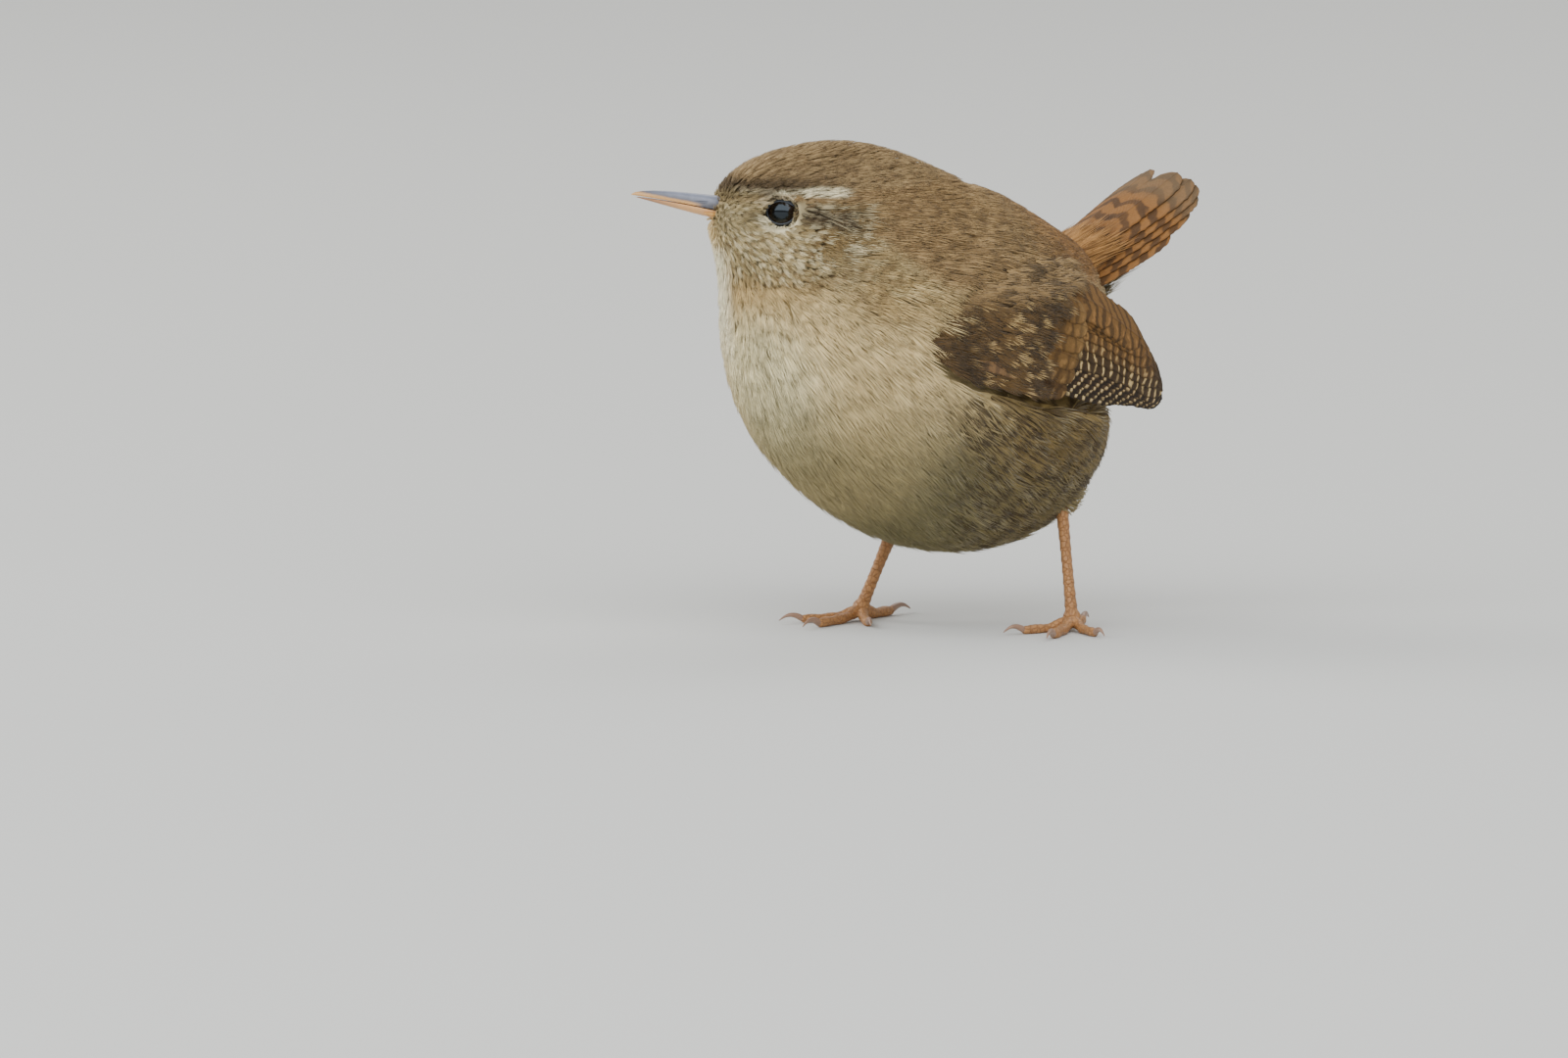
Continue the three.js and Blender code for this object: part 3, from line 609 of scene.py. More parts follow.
@dataclass(frozen=True)
class VaneFinish:
    """A flight or tail feather: barred webs on both sides of a shaft, with a pale pattern on the outer web."""

    name: str
    ground: tuple[float, float, float]
    bar: tuple[float, float, float]
    spot: tuple[float, float, float]
    period: float
    bar_share: float
    spot_share: float
    spot_top: tuple[float, float, float] = (150, 104, 58)
    bar_depth: float = 0.92
    slant: float = 0.0
    scallop: float = 0.5
    waver: float = 1.1
    tip: tuple[float, float, float] = (150, 130, 104)
    tip_from: float = 20.0
    tip_share: float = 0.0
    shaft: tuple[float, float, float] = (74, 52, 34)
    low: tuple[float, float, float] = (60, 46, 32)
    fade: tuple[float, float] = (0.1, 0.9)
    top_share: float = 1.0
    row_shift: float = 5.3
    # rim darkens each vane's edges: painted shade where the vanes overlap.
    rim: float = 0.12
    quill: float = 0.3

    def make(self) -> bpy.types.Material:
        """Builds the material from each vane's marks: across, millimetres along, and its rank in the row."""
        dye = Dye(self.name, 0.7, Specular_IOR_Level=0.2)
        across, along, rank = dye.parts(dye.attribute("vane", "Vector"))
        wave = dye.noise(520.0, 3.0) - 0.5
        curve = across * across * self.scallop + across * self.slant
        turn = (along + curve + wave * self.waver + rank * self.row_shift) * (2 * math.pi / self.period)
        bars = turn.sin().step(0.05 - self.bar_share, 0.95 - self.bar_share)
        blotch = dye.noise(260.0, 2.0)
        rise = rank.step(*self.fade)
        ground = dye.mix(srgb(*self.low), srgb(*self.ground), rise)
        tone = dye.mix(ground, srgb(*self.bar), bars * self.bar_depth * (blotch * 0.7 + 0.6))
        web = across.step(0.20, 0.45) * (1.0 - across.step(0.80, 0.98) * 0.85)
        share = 1.0 - rise * (1.0 - self.top_share)
        worn = dye.noise(610.0, 1.0).step(0.34, 0.54) * 0.65 + 0.35
        spots = (turn + 2.6).sin().step(0.40, 0.95) * web * share * self.spot_share * worn
        tone = dye.mix(tone, dye.mix(srgb(*self.spot), srgb(*self.spot_top), rise), spots)
        tone = dye.mix(tone, srgb(*self.tip), (along - self.tip_from + wave * 2.0).step(0.0, 4.0) * self.tip_share)
        barbs = ((along - across.abs() * 2.2) * 26.0).sin()
        fine = dye.noise(2600.0, 2.0)
        # Darker towards each vane's edge by rim: a painted shade line where the vanes overlap.
        edge = across.abs().step(0.80, 1.0)
        tone = dye.scaled(tone, barbs * 0.05 + fine * 0.4 + 0.80 - edge * self.rim)
        stem = 1.0 - across.abs().step(0.02, 0.08)
        dye.colour(dye.mix(tone, srgb(*self.shaft), stem * self.quill))
        return dye.bump(barbs * 0.5 + stem * 1.2 + fine, 0.00005).material


@dataclass(frozen=True)
class MedianCovertFinish:
    """A brown covert with a round pale spot at its tip and a dark edge round the spot."""

    name: str = "spotted median coverts"
    length: float = 8.2

    def make(self) -> bpy.types.Material:
        """Builds the material from the stored place on the vane."""
        dye = Dye(self.name, 0.65, Specular_IOR_Level=0.3, Sheen_Weight=0.1)
        across, along, rank = dye.parts(dye.attribute("vane", "Vector"))
        cloud = dye.noise(700.0, 3.0)
        patch = dye.noise(230.0, 1.0).step(0.42, 0.60)
        off = along - (self.length - 0.9) + (cloud - 0.5) * 0.7
        reach = (off * off + across * across * 1.7).power(0.5)
        bars = (along * 4.2 + rank * 5.0 + cloud * 2.0).sin().step(0.2, 0.8)
        tone = dye.mix(srgb(124, 92, 56), srgb(80, 58, 36), bars * 0.6)
        tone = dye.mix(tone, srgb(66, 48, 32), (1.0 - reach.step(0.9, 1.4)) * 0.6)
        tone = dye.mix(tone, srgb(196, 162, 108), (1.0 - reach.step(0.45, 0.95)) * patch * 0.85)
        barbs = ((along - across.abs() * 2.2) * 26.0).sin()
        dye.colour(dye.scaled(tone, barbs * 0.05 + cloud * 0.4 + 0.8))
        return dye.bump(barbs, 0.00004).material


@dataclass(frozen=True)
class UpperBillFinish:
    """The upper bill: dark horn with a painted blue-grey highlight along its top, and a warm cutting edge."""

    name: str = "blue-grey upper bill horn"
    # back is a painted highlight: blue-grey that stands for the sky's reflection on the top of the dark horn.
    back: tuple[float, float, float] = (122, 126, 142)
    dark: tuple[float, float, float] = (62, 60, 66)
    edge: tuple[float, float, float] = (206, 154, 90)

    def make(self) -> bpy.types.Material:
        """Builds the material from the stored place on the bill."""
        dye = Dye(self.name, 0.34, Coat_Weight=0.2, Coat_Roughness=0.25)
        _, out, up = dye.parts(dye.attribute("bill", "Vector"))
        cloud = dye.noise(900.0, 3.0)
        high = up + out * 0.02 + (cloud - 0.5) * 0.25
        # Blue-grey towards the top of the bill: painted highlight over the dark horn.
        tone = dye.mix(srgb(*self.dark), srgb(*self.back), high.step(0.5, 1.5) * 0.8 + 0.2)
        warm = (1.0 - high.step(0.45, 0.8)) * out.step(1.4, 3.2)
        tone = dye.mix(tone, srgb(*self.edge), warm * 0.95)
        tone = dye.mix(tone, srgb(*self.edge), out.step(9.0, 11.6) * 0.55)
        dye.colour(dye.scaled(tone, cloud * 0.35 + 0.82))
        return dye.bump(dye.noise(2400.0, 3.0), 0.00003).material


@dataclass(frozen=True)
class LowerBillFinish:
    """The lower bill: warm buff horn, darker towards the tip."""

    name: str = "buff lower bill horn"
    base: tuple[float, float, float] = (214, 162, 106)
    tip: tuple[float, float, float] = (150, 104, 76)

    def make(self) -> bpy.types.Material:
        """Builds the material from the stored place on the bill."""
        dye = Dye(self.name, 0.36, Coat_Weight=0.15, Coat_Roughness=0.3)
        _, out, _ = dye.parts(dye.attribute("bill", "Vector"))
        cloud = dye.noise(900.0, 3.0)
        tone = dye.mix(srgb(*self.base), srgb(*self.tip), (out + (cloud - 0.5) * 2.0).step(3.0, 11.0))
        dye.colour(dye.scaled(tone, cloud * 0.4 + 0.8))
        return dye.bump(dye.noise(2400.0, 3.0), 0.00003).material


@dataclass(frozen=True)
class LegFinish:
    """Scaly skin of the legs and toes."""

    name: str = "scaly leg skin"
    light: tuple[float, float, float] = (180, 130, 82)
    dark: tuple[float, float, float] = (122, 80, 46)

    def make(self) -> bpy.types.Material:
        """Builds the material, with small scales from a cell pattern."""
        depth = (0.002, 0.001, 0.0006)
        dye = Dye(self.name, 0.48, Specular_IOR_Level=0.4, Subsurface_Weight=0.08, Subsurface_Radius=depth)
        over = {"Vector": dye.place(), "Scale": 1500.0}
        cells = dye.node("TexVoronoi", "Distance", over, feature="DISTANCE_TO_EDGE")
        seam = cells.step(0.0, 0.12)
        cloud = dye.noise(380.0, 4.0)
        tone = dye.mix(srgb(*self.dark), srgb(*self.light), seam * 0.45 + cloud * 0.75)
        dye.colour(tone).rough(cloud * 0.25 + 0.36)
        return dye.bump(seam, 0.00008).material


@dataclass(frozen=True)
class EyeFinish:
    """A wet, almost black eye with a dark brown iris."""

    name: str = "wet dark eye"

    def make(self) -> bpy.types.Material:
        """Builds the material."""
        dye = Dye(self.name, 0.03, Specular_IOR_Level=0.55, Specular_Tint=(0.70, 0.85, 1.0))
        radial, _, _ = dye.parts(dye.attribute("gaze", "Vector"))
        cloud = dye.noise(1600.0, 3.0)
        iris = radial.step(1.05, 1.25) * (cloud * 0.8 + 0.4)
        return dye.colour(dye.mix((0.003, 0.003, 0.003), (0.020, 0.011, 0.006), iris)).material


@dataclass(frozen=True)
class PlainFinish:
    """One colour with a soft cloud in it."""

    name: str
    tone: tuple[float, float, float]
    roughness: float = 0.6
    scale: float = 900.0
    depth: float = 0.00003

    def make(self) -> bpy.types.Material:
        """Builds the material."""
        dye = Dye(self.name, self.roughness)
        cloud = dye.noise(self.scale, 3.0)
        dye.colour(dye.mix(srgb(*self.tone) * 0.7, srgb(*self.tone) * 1.25, cloud))
        return dye.bump(cloud, self.depth).material


# Meshes


def mesh_piece(name: str, points: Array, faces: Array, material: bpy.types.Material) -> bpy.types.Object:
    """A mesh object from arrays.

    Args:
        name: The piece's name.
        points: Row-frame metres, one vertex a row.
        faces: Vertex numbers, three or four a row.
        material: Its material.

    Returns:
        The new object, at the origin and shaded smooth.
    """
    mesh = bpy.data.meshes.new(name)
    size = faces.shape[1]
    mesh.vertices.add(len(points))
    mesh.vertices.foreach_set("co", np.ascontiguousarray(points, np.float32).ravel())
    mesh.loops.add(faces.size)
    mesh.loops.foreach_set("vertex_index", np.ascontiguousarray(faces, np.int32).ravel())
    mesh.polygons.add(len(faces))
    mesh.polygons.foreach_set("loop_start", np.arange(0, faces.size, size, dtype=np.int32))
    mesh.polygons.foreach_set("use_smooth", np.ones(len(faces), bool))
    mesh.update(calc_edges=True)
    mesh.materials.append(material)
    piece = bpy.data.objects.new(name, mesh)
    bpy.context.collection.objects.link(piece)
    return piece


def store(piece: bpy.types.Object, name: str, kind: str, values: Array) -> None:
    """Keeps values for each vertex of a piece under a name.

    Args:
        piece: The piece.
        name: What a material asks for.
        kind: Colour or vector, as Blender calls it.
        values: Four or three numbers a vertex.
    """
    made = piece.data.attributes.new(name, kind, "POINT")
    key = "color" if kind == "FLOAT_COLOR" else "vector"
    made.data.foreach_set(key, np.ascontiguousarray(values, np.float32).ravel())


def only(piece: bpy.types.Object) -> None:
    """Selects one piece and nothing else."""
    bpy.ops.object.select_all(action="DESELECT")
    piece.select_set(True)
    bpy.context.view_layer.objects.active = piece


def apply_modifier(piece: bpy.types.Object, name: str, kind: str, **settings: object) -> None:
    """Adds a modifier to a piece and applies it.

    Args:
        piece: The piece.
        name: The modifier's name.
        kind: Its type, as Blender calls it.
        settings: Its own properties.
    """
    only(piece)
    modifier = piece.modifiers.new(name, kind)
    for key, value in settings.items():
        setattr(modifier, key, value)
    bpy.ops.object.modifier_apply(modifier=modifier.name)


def copy_of(names: Sequence[str], name: str) -> bpy.types.Object:
    """One merged mesh from copies of CAD nodes.

    Args:
        names: The nodes.
        name: The new piece's name.

    Returns:
        The joined copy, with its doubles merged.
    """
    bpy.ops.object.select_all(action="DESELECT")
    for node in names:
        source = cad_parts[node]
        twin = bpy.data.objects.new(name, source.data.copy())
        twin.matrix_world = source.matrix_world
        bpy.context.collection.objects.link(twin)
        twin.select_set(True)
        bpy.context.view_layer.objects.active = twin
    if len(names) > 1:
        bpy.ops.object.join()
    piece = bpy.context.view_layer.objects.active
    piece.name = name
    piece.data.materials.clear()
    bpy.ops.object.transform_apply(location=True, rotation=True, scale=True)
    bpy.ops.object.mode_set(mode="EDIT")
    bpy.ops.mesh.select_all(action="SELECT")
    bpy.ops.mesh.remove_doubles(threshold=0.00001)
    bpy.ops.object.mode_set(mode="OBJECT")
    return piece


def points_of(piece: bpy.types.Object) -> Array:
    """The vertices of a piece, in row-frame metres."""
    co = np.empty(len(piece.data.vertices) * 3, np.float32)
    piece.data.vertices.foreach_get("co", co)
    return co.reshape(-1, 3).astype(float)


def tree_of(*pieces: bpy.types.Object) -> BVHTree:
    """A search tree over the faces of some pieces."""
    points, faces = [], []
    for piece in pieces:
        start = len(points)
        points += [piece.matrix_world @ v.co for v in piece.data.vertices]
        faces += [[start + v for v in face.vertices] for face in piece.data.polygons]
    return BVHTree.FromPolygons(points, faces)


def dress(piece: bpy.types.Object, slot: str, *nodes: str) -> bpy.types.Object:
    """Ties a piece to the bird, in place of CAD nodes if some are named.

    Args:
        piece: The piece.
        slot: Not used.
        nodes: The nodes that it stands for.

    Returns:
        The same piece.
    """
    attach(piece, "root")
    if nodes:
        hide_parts(*nodes)
    LOG.info("%s: %d faces", piece.name, len(piece.data.polygons))
    return piece


# Skin


@dataclass
class Skin:
    """The skin under the coat, drawn in from the solids by the coat's depth."""

    nodes: tuple[str, ...] = ("head", "neck", "torso", "thigh_left", "thigh_right")
    voxel: float = 0.8
    body_depth: float = 1.1
    face_depth: float = 0.45
    piece: Optional[bpy.types.Object] = None

    def depth(self, p: Array) -> Array:
        """The coat's depth over points in the bird's millimetres."""
        face = np.linalg.norm(POSE.to_head(p) - np.array([0, -9, 3.0]), axis=1)
        return self.face_depth + (self.body_depth - self.face_depth) * smooth(face, 6, 16)

    def build(self) -> None:
        """Joins the flesh, closes its seams, draws it in and colours it."""
        skin = copy_of(self.nodes, "skin")
        apply_modifier(skin, "close", "REMESH", mode="VOXEL", voxel_size=self.voxel * MM)
        apply_modifier(skin, "soften", "SMOOTH", factor=0.6, iterations=4)
        normals = np.empty(len(skin.data.vertices) * 3, np.float32)
        skin.data.vertices.foreach_get("normal", normals)
        points = points_of(skin)
        own = to_bird(points)
        points -= normals.reshape(-1, 3) * self.depth(own)[:, None] * MM
        skin.data.vertices.foreach_set("co", points.astype(np.float32).ravel())
        skin.data.update()
        apply_modifier(skin, "settle", "SMOOTH", factor=0.5, iterations=2)
        only(skin)
        bpy.ops.object.shade_smooth()
        bpy.ops.object.mode_set(mode="EDIT")
        bpy.ops.mesh.select_all(action="SELECT")
        bpy.ops.uv.smart_project(angle_limit=math.radians(66), island_margin=0.002)
        bpy.ops.object.mode_set(mode="OBJECT")
        skin.data.uv_layers[0].name = "OFBake"
        p = to_bird(points_of(skin))
        tint = markings(p, np.full(len(p), 0.4), np.full(len(p), 0.5))
        store(skin, "tint", "FLOAT_COLOR", np.c_[tint, np.ones(len(p))])
        skin.data.materials.append(SkinFinish().make())
        self.piece = dress(skin, "plumage", *self.nodes)


# Coat


@dataclass
class Lie:
    """How the plumage lies: away from the bill, round the eyes, and back to the tail and vent."""

    eye_spread: float = 1.4

    def at(self, p: Array, normal: Array) -> Array:
        """The way that feathers point.

        Args:
            p: Places in the bird's millimetres.
            normal: The skin's outward way there.

        Returns:
            Unit vectors along the skin.
        """
        source = POSE.from_head(np.array([0.0, -16.5, 3.5]))
        tail = np.array(POSE.tail) + np.array([0, 4, 1.0])
        vent = np.array(POSE.vent)
        away = p - source
        flow = 90 * away / np.linalg.norm(away, axis=1, keepdims=True) ** 2
        low = smooth(46 - p[:, 2], 0, 14)[:, None]
        for goal, weight in ((tail, 1 - 0.75 * low), (vent, 0.25 + 0.75 * low)):
            gap = goal - p
            flow = flow + 70 * weight * gap / (np.linalg.norm(gap, axis=1, keepdims=True) ** 2 + 30)
        flow[:, 2] -= 0.8 * smooth(-p[:, 1], -6, 14) * smooth(52 - p[:, 2], 0, 10)
        for side in (1, -1):
            off = p - POSE.eye_centre(side)
            reach = np.linalg.norm(off, axis=1)
            flow = flow + self.eye_spread * 5.0 * (off / reach[:, None]) * np.exp(-((reach - 2.6) / 1.1))[:, None]
        flow = flow - normal * np.sum(flow * normal, axis=1, keepdims=True)
        return unit(flow)


@dataclass(frozen=True)
class Growth:
    """The feathers of one stretch of skin, in millimetres."""

    spacing: float
    length: float
    fan: float
    blade: float
    lift: float


class Stretch(Enum):
    """Stretches of skin whose feathers differ."""

    FACE = Growth(0.56, 2.5, 0.28, 0.10, 0.02)
    CROWN = Growth(0.76, 3.0, 0.50, 0.13, 0.05)
    THROAT = Growth(0.88, 3.8, 0.70, 0.14, 0.10)
    BACK = Growth(1.12, 5.4, 0.98, 0.18, 0.08)
    BREAST = Growth(1.14, 5.6, 1.08, 0.18, 0.15)
    BELLY = Growth(1.27, 6.6, 1.24, 0.19, 0.42)
    SHOULDER = Growth(0.85, 3.6, 0.75, 0.18, 0.12)
    TAIL_COVERT = Growth(1.0, 7.0, 1.00, 0.18, 0.12)
    EYE_RING = Growth(0.4, 0.95, 0.20, 0.10, 0.03)

    @property
    def number(self) -> int:
        """The stretch's place in the order above."""
        return list(Stretch).index(self)


def stretch_of(p: Array) -> Array:
    """The number of each point's stretch, in the order of Stretch."""
    h = POSE.to_head(p)
    reach = np.linalg.norm(h, axis=1)
    upper = dorsal(p) > 0.5
    kind = np.where(p[:, 2] > 33, Stretch.BREAST.number, Stretch.BELLY.number)
    kind = np.where(upper, Stretch.BACK.number, kind)
    kind = np.where((reach < 19) & ~upper, Stretch.THROAT.number, kind)
    kind = np.where((reach < 18) & (h[:, 2] > 4.5), Stretch.CROWN.number, kind)
    face = (h[:, 1] < -3) & (h[:, 2] > -5) & (h[:, 2] < 7.5) & (reach < 18)
    return np.where(face, Stretch.FACE.number, kind)


@dataclass
class Blades:
    """The shape of one feather's blades: closed, three-sided and tapered."""

    count: int = 8
    stations: tuple[float, ...] = (0.0, 0.42, 0.78)
    widths: tuple[float, ...] = (0.55, 1.0, 0.62)

    def faces(self, blades: int) -> Array:
        """Triangles of many blades, whose vertices follow one another.

        Args:
            blades: How many blades.

        Returns:
            Vertex numbers, three a row.
        """
        one = []
        rings = len(self.stations)
        for ring in range(rings - 1):
            for j in range(3):
                a, b = ring * 3 + j, ring * 3 + (j + 1) % 3
                one += [(a, b, b + 3), (a, b + 3, a + 3)]
        tip = rings * 3
        last = (rings - 1) * 3
        one += [(last + j, last + (j + 1) % 3, tip) for j in range(3)]
        one.append((0, 2, 1))
        step = tip + 1
        return (np.array(one)[None] + np.arange(blades)[:, None, None] * step).reshape(-1, 3)


@dataclass
class Coat:
    """The body plumage as tufts of solid blades over the skin.

    The patch is the side of each tuft's place on the skin's map. The wing's reach, in metres, is how far under
    the skin a look for a wing starts, how far out it goes, and how close a root may lie to a wing. The eye's
    hole is its radius and its depth.
    """

    skin: Skin
    finish: bpy.types.Material
    lie: Lie = field(default_factory=Lie)
    blades: Blades = field(default_factory=Blades)
    seed: int = 7
    thin: float = 1.0
    patch: float = 0.0026
    samples: int = 160000
    most_triangles: int = 190000
    wing_reach: tuple[float, float, float] = (0.0006, 0.006, 0.0005)
    leg_reach: float = 0.0008
    eye_hole: tuple[float, float] = (2.35, 5.0)

    def roots(self) -> tuple[Array, Array, Array, Array]:
        """Places on the skin where feathers grow.

        Returns:
            Places in the bird's millimetres, the outward way, the stretch's number, and the place on the skin's map.
        """
        rng = np.random.default_rng(self.seed)
        mesh = self.skin.piece.data
        mesh.calc_loop_triangles()
        tris = np.empty(len(mesh.loop_triangles) * 3, np.int32)
        mesh.loop_triangles.foreach_get("vertices", tris)
        loops = np.empty(len(mesh.loop_triangles) * 3, np.int32)
        mesh.loop_triangles.foreach_get("loops", loops)
        uv = np.empty(len(mesh.loops) * 2, np.float32)
        mesh.uv_layers["OFBake"].data.foreach_get("uv", uv)
        uv = uv.reshape(-1, 2)[loops.reshape(-1, 3)]
        p = to_bird(points_of(self.skin.piece))[tris.reshape(-1, 3)]
        cross = np.cross(p[:, 1] - p[:, 0], p[:, 2] - p[:, 0])
        area = np.linalg.norm(cross, axis=1)
        pick = rng.choice(len(area), self.samples, p=area / area.sum())
        w = rng.dirichlet((1, 1, 1), len(pick))
        place = np.einsum("ni,nij->nj", w, p[pick])
        map_at = np.einsum("ni,nij->nj", w, uv[pick])
        normal = unit(cross[pick])
        kind = stretch_of(place)
        spacing = np.array([s.value.spacing for s in Stretch])[kind] * self.thin
        cell = np.floor(place / spacing[:, None]).astype(int)
        keys = np.c_[cell, kind]
        _, first = np.unique(keys, axis=0, return_index=True)
        return place[first], normal[first], kind[first], map_at[first]

    def keep(self, place: Array, normal: Array) -> Array:
        """Which roots stay: not under a wing, in an eye's opening or on the bill.

        Args:
            place: Roots in the bird's millimetres.
            normal: The outward way at each.

        Returns:
            True where a root stays.
        """
        wings = tree_of(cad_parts["wing_left"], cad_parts["wing_right"])
        legs = tree_of(*[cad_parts[f"tarsus_{side}"] for side in ("left", "right")])
        stay = np.ones(len(place), bool)
        inside, outside, beside = self.wing_reach
        for i, (point, way) in enumerate(zip(to_row(place), normal)):
            start, out = Vector(point), Vector(way)
            covered = wings.ray_cast(start - out * inside, out, outside)[0] is not None
            touched = wings.find_nearest(start, beside)[0] is not None
            on_leg = legs.find_nearest(start, self.leg_reach)[0] is not None
            stay[i] = not (covered or touched or on_leg)
        for side in (1, -1):
            off = place - POSE.eye_centre(side)
            axis = POSE.eye_axis(side)
            along = off @ axis
            radial = np.linalg.norm(off - along[:, None] * axis, axis=1)
            stay &= ~((along > 0) & (radial < self.eye_hole[0]) & (along < self.eye_hole[1]))
        h = POSE.to_head(place)
        stay &= ~((h[:, 1] < -15.0) & (np.abs(h[:, 0]) < 1.6) & (np.abs(h[:, 2] - 3.9) < 1.3))
        return stay

    def grow(self) -> None:
        """Makes the coat, in pieces of under 200,000 triangles."""
        place, normal, kind, map_at = self.roots()
        stay = self.keep(place, normal)
        place, normal, kind, map_at = place[stay], normal[stay], kind[stay], map_at[stay]
        outer = tree_of(*[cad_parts[n] for n in (*self.skin.nodes, "wing_left", "wing_right")])
        self.make_tufts("coat", place, normal, kind, map_at, outer)

    def make_tufts(
        self,
        name: str,
        place: Array,
        normal: Array,
        kind: Array,
        map_at: Array,
        outer: Optional[BVHTree],
        lie: Optional[Array] = None,
        paint: Callable[[Array, Array, Array], Array] = markings,
    ) -> None:
        """Makes tufts on given roots.

        Args:
            name: The start of the pieces' names.
            place: Roots in the bird's millimetres.
            normal: The outward way at each root.
            kind: The number of each root's stretch.
            map_at: Each root's place on the skin's map.
            outer: The surface that the tips lie on, or none where they stand free.
            lie: The way each feather points, where the body's own lie doesn't hold.
            paint: What gives the colours.
        """
        rng = np.random.default_rng(self.seed + 1)
        n = len(place)
        growth = [s.value for s in Stretch]
        length = np.array([g.length for g in growth])[kind] * rng.uniform(0.8, 1.15, n)
        face = np.linalg.norm(POSE.to_head(place) - np.array([0, -15.0, 3.5]), axis=1)
        length *= 0.45 + 0.55 * smooth(face, 2.0, 9.0)
        for side in (1, -1):
            away = np.linalg.norm(place - POSE.eye_centre(side), axis=1)
            length *= np.where(kind == Stretch.EYE_RING.number, 1.0, 0.5 + 0.5 * smooth(away, 3.0, 5.0))
        fan = np.array([g.fan for g in growth])[kind]
        blade = np.array([g.blade for g in growth])[kind]
        lift = np.array([g.lift for g in growth])[kind]
        flow = self.lie.at(place, normal) if lie is None else lie
        turn = rng.normal(0, 0.13, n)[:, None]
        side_way = unit(np.cross(normal, flow))
        flow = unit(flow + side_way * turn)
        middle, tip, tip_normal = np.empty((n, 3)), np.empty((n, 3)), np.empty((n, 3))
        if outer is None:
            middle = place + flow * length[:, None] * 0.45 + normal * 0.5
            tip = place + flow * length[:, None] + normal * 0.4
            tip_normal = normal.copy()
        for i in range(n if outer is not None else 0):
            for share, target in ((0.45, middle), (1.0, tip)):
                want = place[i] + normal[i] * 0.5 + flow[i] * length[i] * share
                at, out, _, _ = outer.find_nearest(Vector(to_row(want)))
                target[i] = to_bird(np.array(at))
                if share == 1.0:
                    tip_normal[i] = np.array(out)
        flip = np.sum(tip_normal * normal, axis=1) < -0.2
        tip_normal[flip] = normal[flip]
        middle -= normal * 0.25
        tip += tip_normal * (lift * rng.uniform(-0.6, 1.2, n))[:, None]

        count = self.blades.count
        draw = rng.uniform(0, 1, n)
        spread = (np.arange(count) - (count - 1) / 2) / ((count - 1) / 2)
        spread = spread[None] + rng.uniform(-0.16, 0.16, (n, count))
        reach = (1 - 0.20 * spread ** 2) * rng.uniform(0.82, 1.08, (n, count))
        stops = np.array([*self.blades.stations, 1.0])
        t = stops[None, None] * reach[..., None]
        t = t[..., None]
        a, b, c = place[:, None, None], middle[:, None, None], tip[:, None, None]
        path = (1 - t) ** 2 * a + 2 * t * (1 - t) * (2 * b - 0.5 * (a + c)) + t ** 2 * c
        open_up = (0.12 + 0.88 * stops ** 0.8)[None, None, :, None]
        sideways = unit(np.cross(tip_normal + normal, tip - place))
        path = path + sideways[:, None, None] * (spread * fan[:, None])[..., None, None] * open_up
        rise = rng.uniform(-0.08, 0.12, (n, count))[..., None, None] * stops[None, None, :, None]
        path = path + normal[:, None, None] * rise

        widths = np.array([*self.blades.widths, 0.0])
        stout = rng.uniform(0.75, 1.25, (n, count))[..., None]
        half = (blade[:, None, None] * widths[None, None] * stout / 2)[..., None]
        up = unit(normal + tip_normal)[:, None, None]
        left = path - sideways[:, None, None] * half
        right = path + sideways[:, None, None] * half
        top = path + up * half * 0.7
        rings = np.stack([left[:, :, :-1], top[:, :, :-1], right[:, :, :-1]], axis=3)
        points = np.concatenate([rings.reshape(n, count, -1, 3), path[:, :, -1:]], axis=2)
        each = points.shape[2]

        along = np.concatenate([np.repeat(stops[:-1], 3), [1.0]])
        ends = place[:, None, None] + 0.88 * (points[:, :, -1:] - place[:, None, None])
        flat = np.broadcast_to(ends, points.shape).reshape(-1, 3)
        tint = paint(flat, np.tile(along, n * count), np.repeat(draw, count * each))
        tone = np.repeat(rng.uniform(0.88, 1.1, (n, count)).ravel(), each)
        tint = np.clip(tint * tone[:, None], 0, 1)

        map_across = np.repeat(spread[..., None], each, axis=2) * self.patch / 2
        map_along = np.broadcast_to((along - 0.5) * self.patch, (n, count, each))
        uv = map_at[:, None, None] + np.stack([map_across, map_along], axis=3)
        per = len(self.blades.faces(1)) * count
        chunk = self.most_triangles // per
        order = np.lexsort((place[:, 2], kind))
        for index, start in enumerate(range(0, n, chunk)):
            part = order[start:start + chunk]
            faces = self.blades.faces(len(part) * count)
            piece = mesh_piece(f"{name}_{index + 1}", to_row(points[part].reshape(-1, 3)), faces, self.finish)
            own = tint.reshape(n, -1, 3)[part].reshape(-1, 3)
            store(piece, "tint", "FLOAT_COLOR", np.c_[own, np.ones(len(own))])
            layer = piece.data.uv_layers.new(name="OFBake")
            layer.data.foreach_set("uv", uv[part].reshape(-1, 2)[faces.ravel()].astype(np.float32).ravel())
            dress(piece, "plumage")


# Wings and tail

Surface = Callable[[Array, Array], tuple[Array, Array]]


@dataclass(frozen=True)
class WingDome:
    """The dome that a folded wing's feathers lie on, and how it runs straight on behind the body."""

    bulge: float = 23.6
    centre_up: float = 36.5
    along: float = 27.8
    high: float = 23.5
    leaves_body: float = 8.0
    tuck: float = 0.0035

    def point(self, y: Array, z: Array) -> Array:
        """The left wing's surface at a place along the body and a height."""
        held = np.minimum(y, self.leaves_body)
        inside = 1 - (held / self.along) ** 2 - ((z - self.centre_up) / self.high) ** 2
        side = self.bulge * np.sqrt(np.maximum(inside, 0.05))
        slope = -(self.bulge ** 2) * held / (self.along ** 2 * side)
        past = y - held
        return np.stack([side + slope * past - self.tuck * past * past, y, z], axis=-1)

    def __call__(self, y: Array, z: Array) -> tuple[Array, Array]:
        """The surface and the way it faces."""
        y, z = np.asarray(y, float), np.asarray(z, float)
        step = 0.05
        here = self.point(y, z)
        normal = np.cross(self.point(y + step, z) - here, self.point(y, z + step) - here)
        return here, unit(normal)


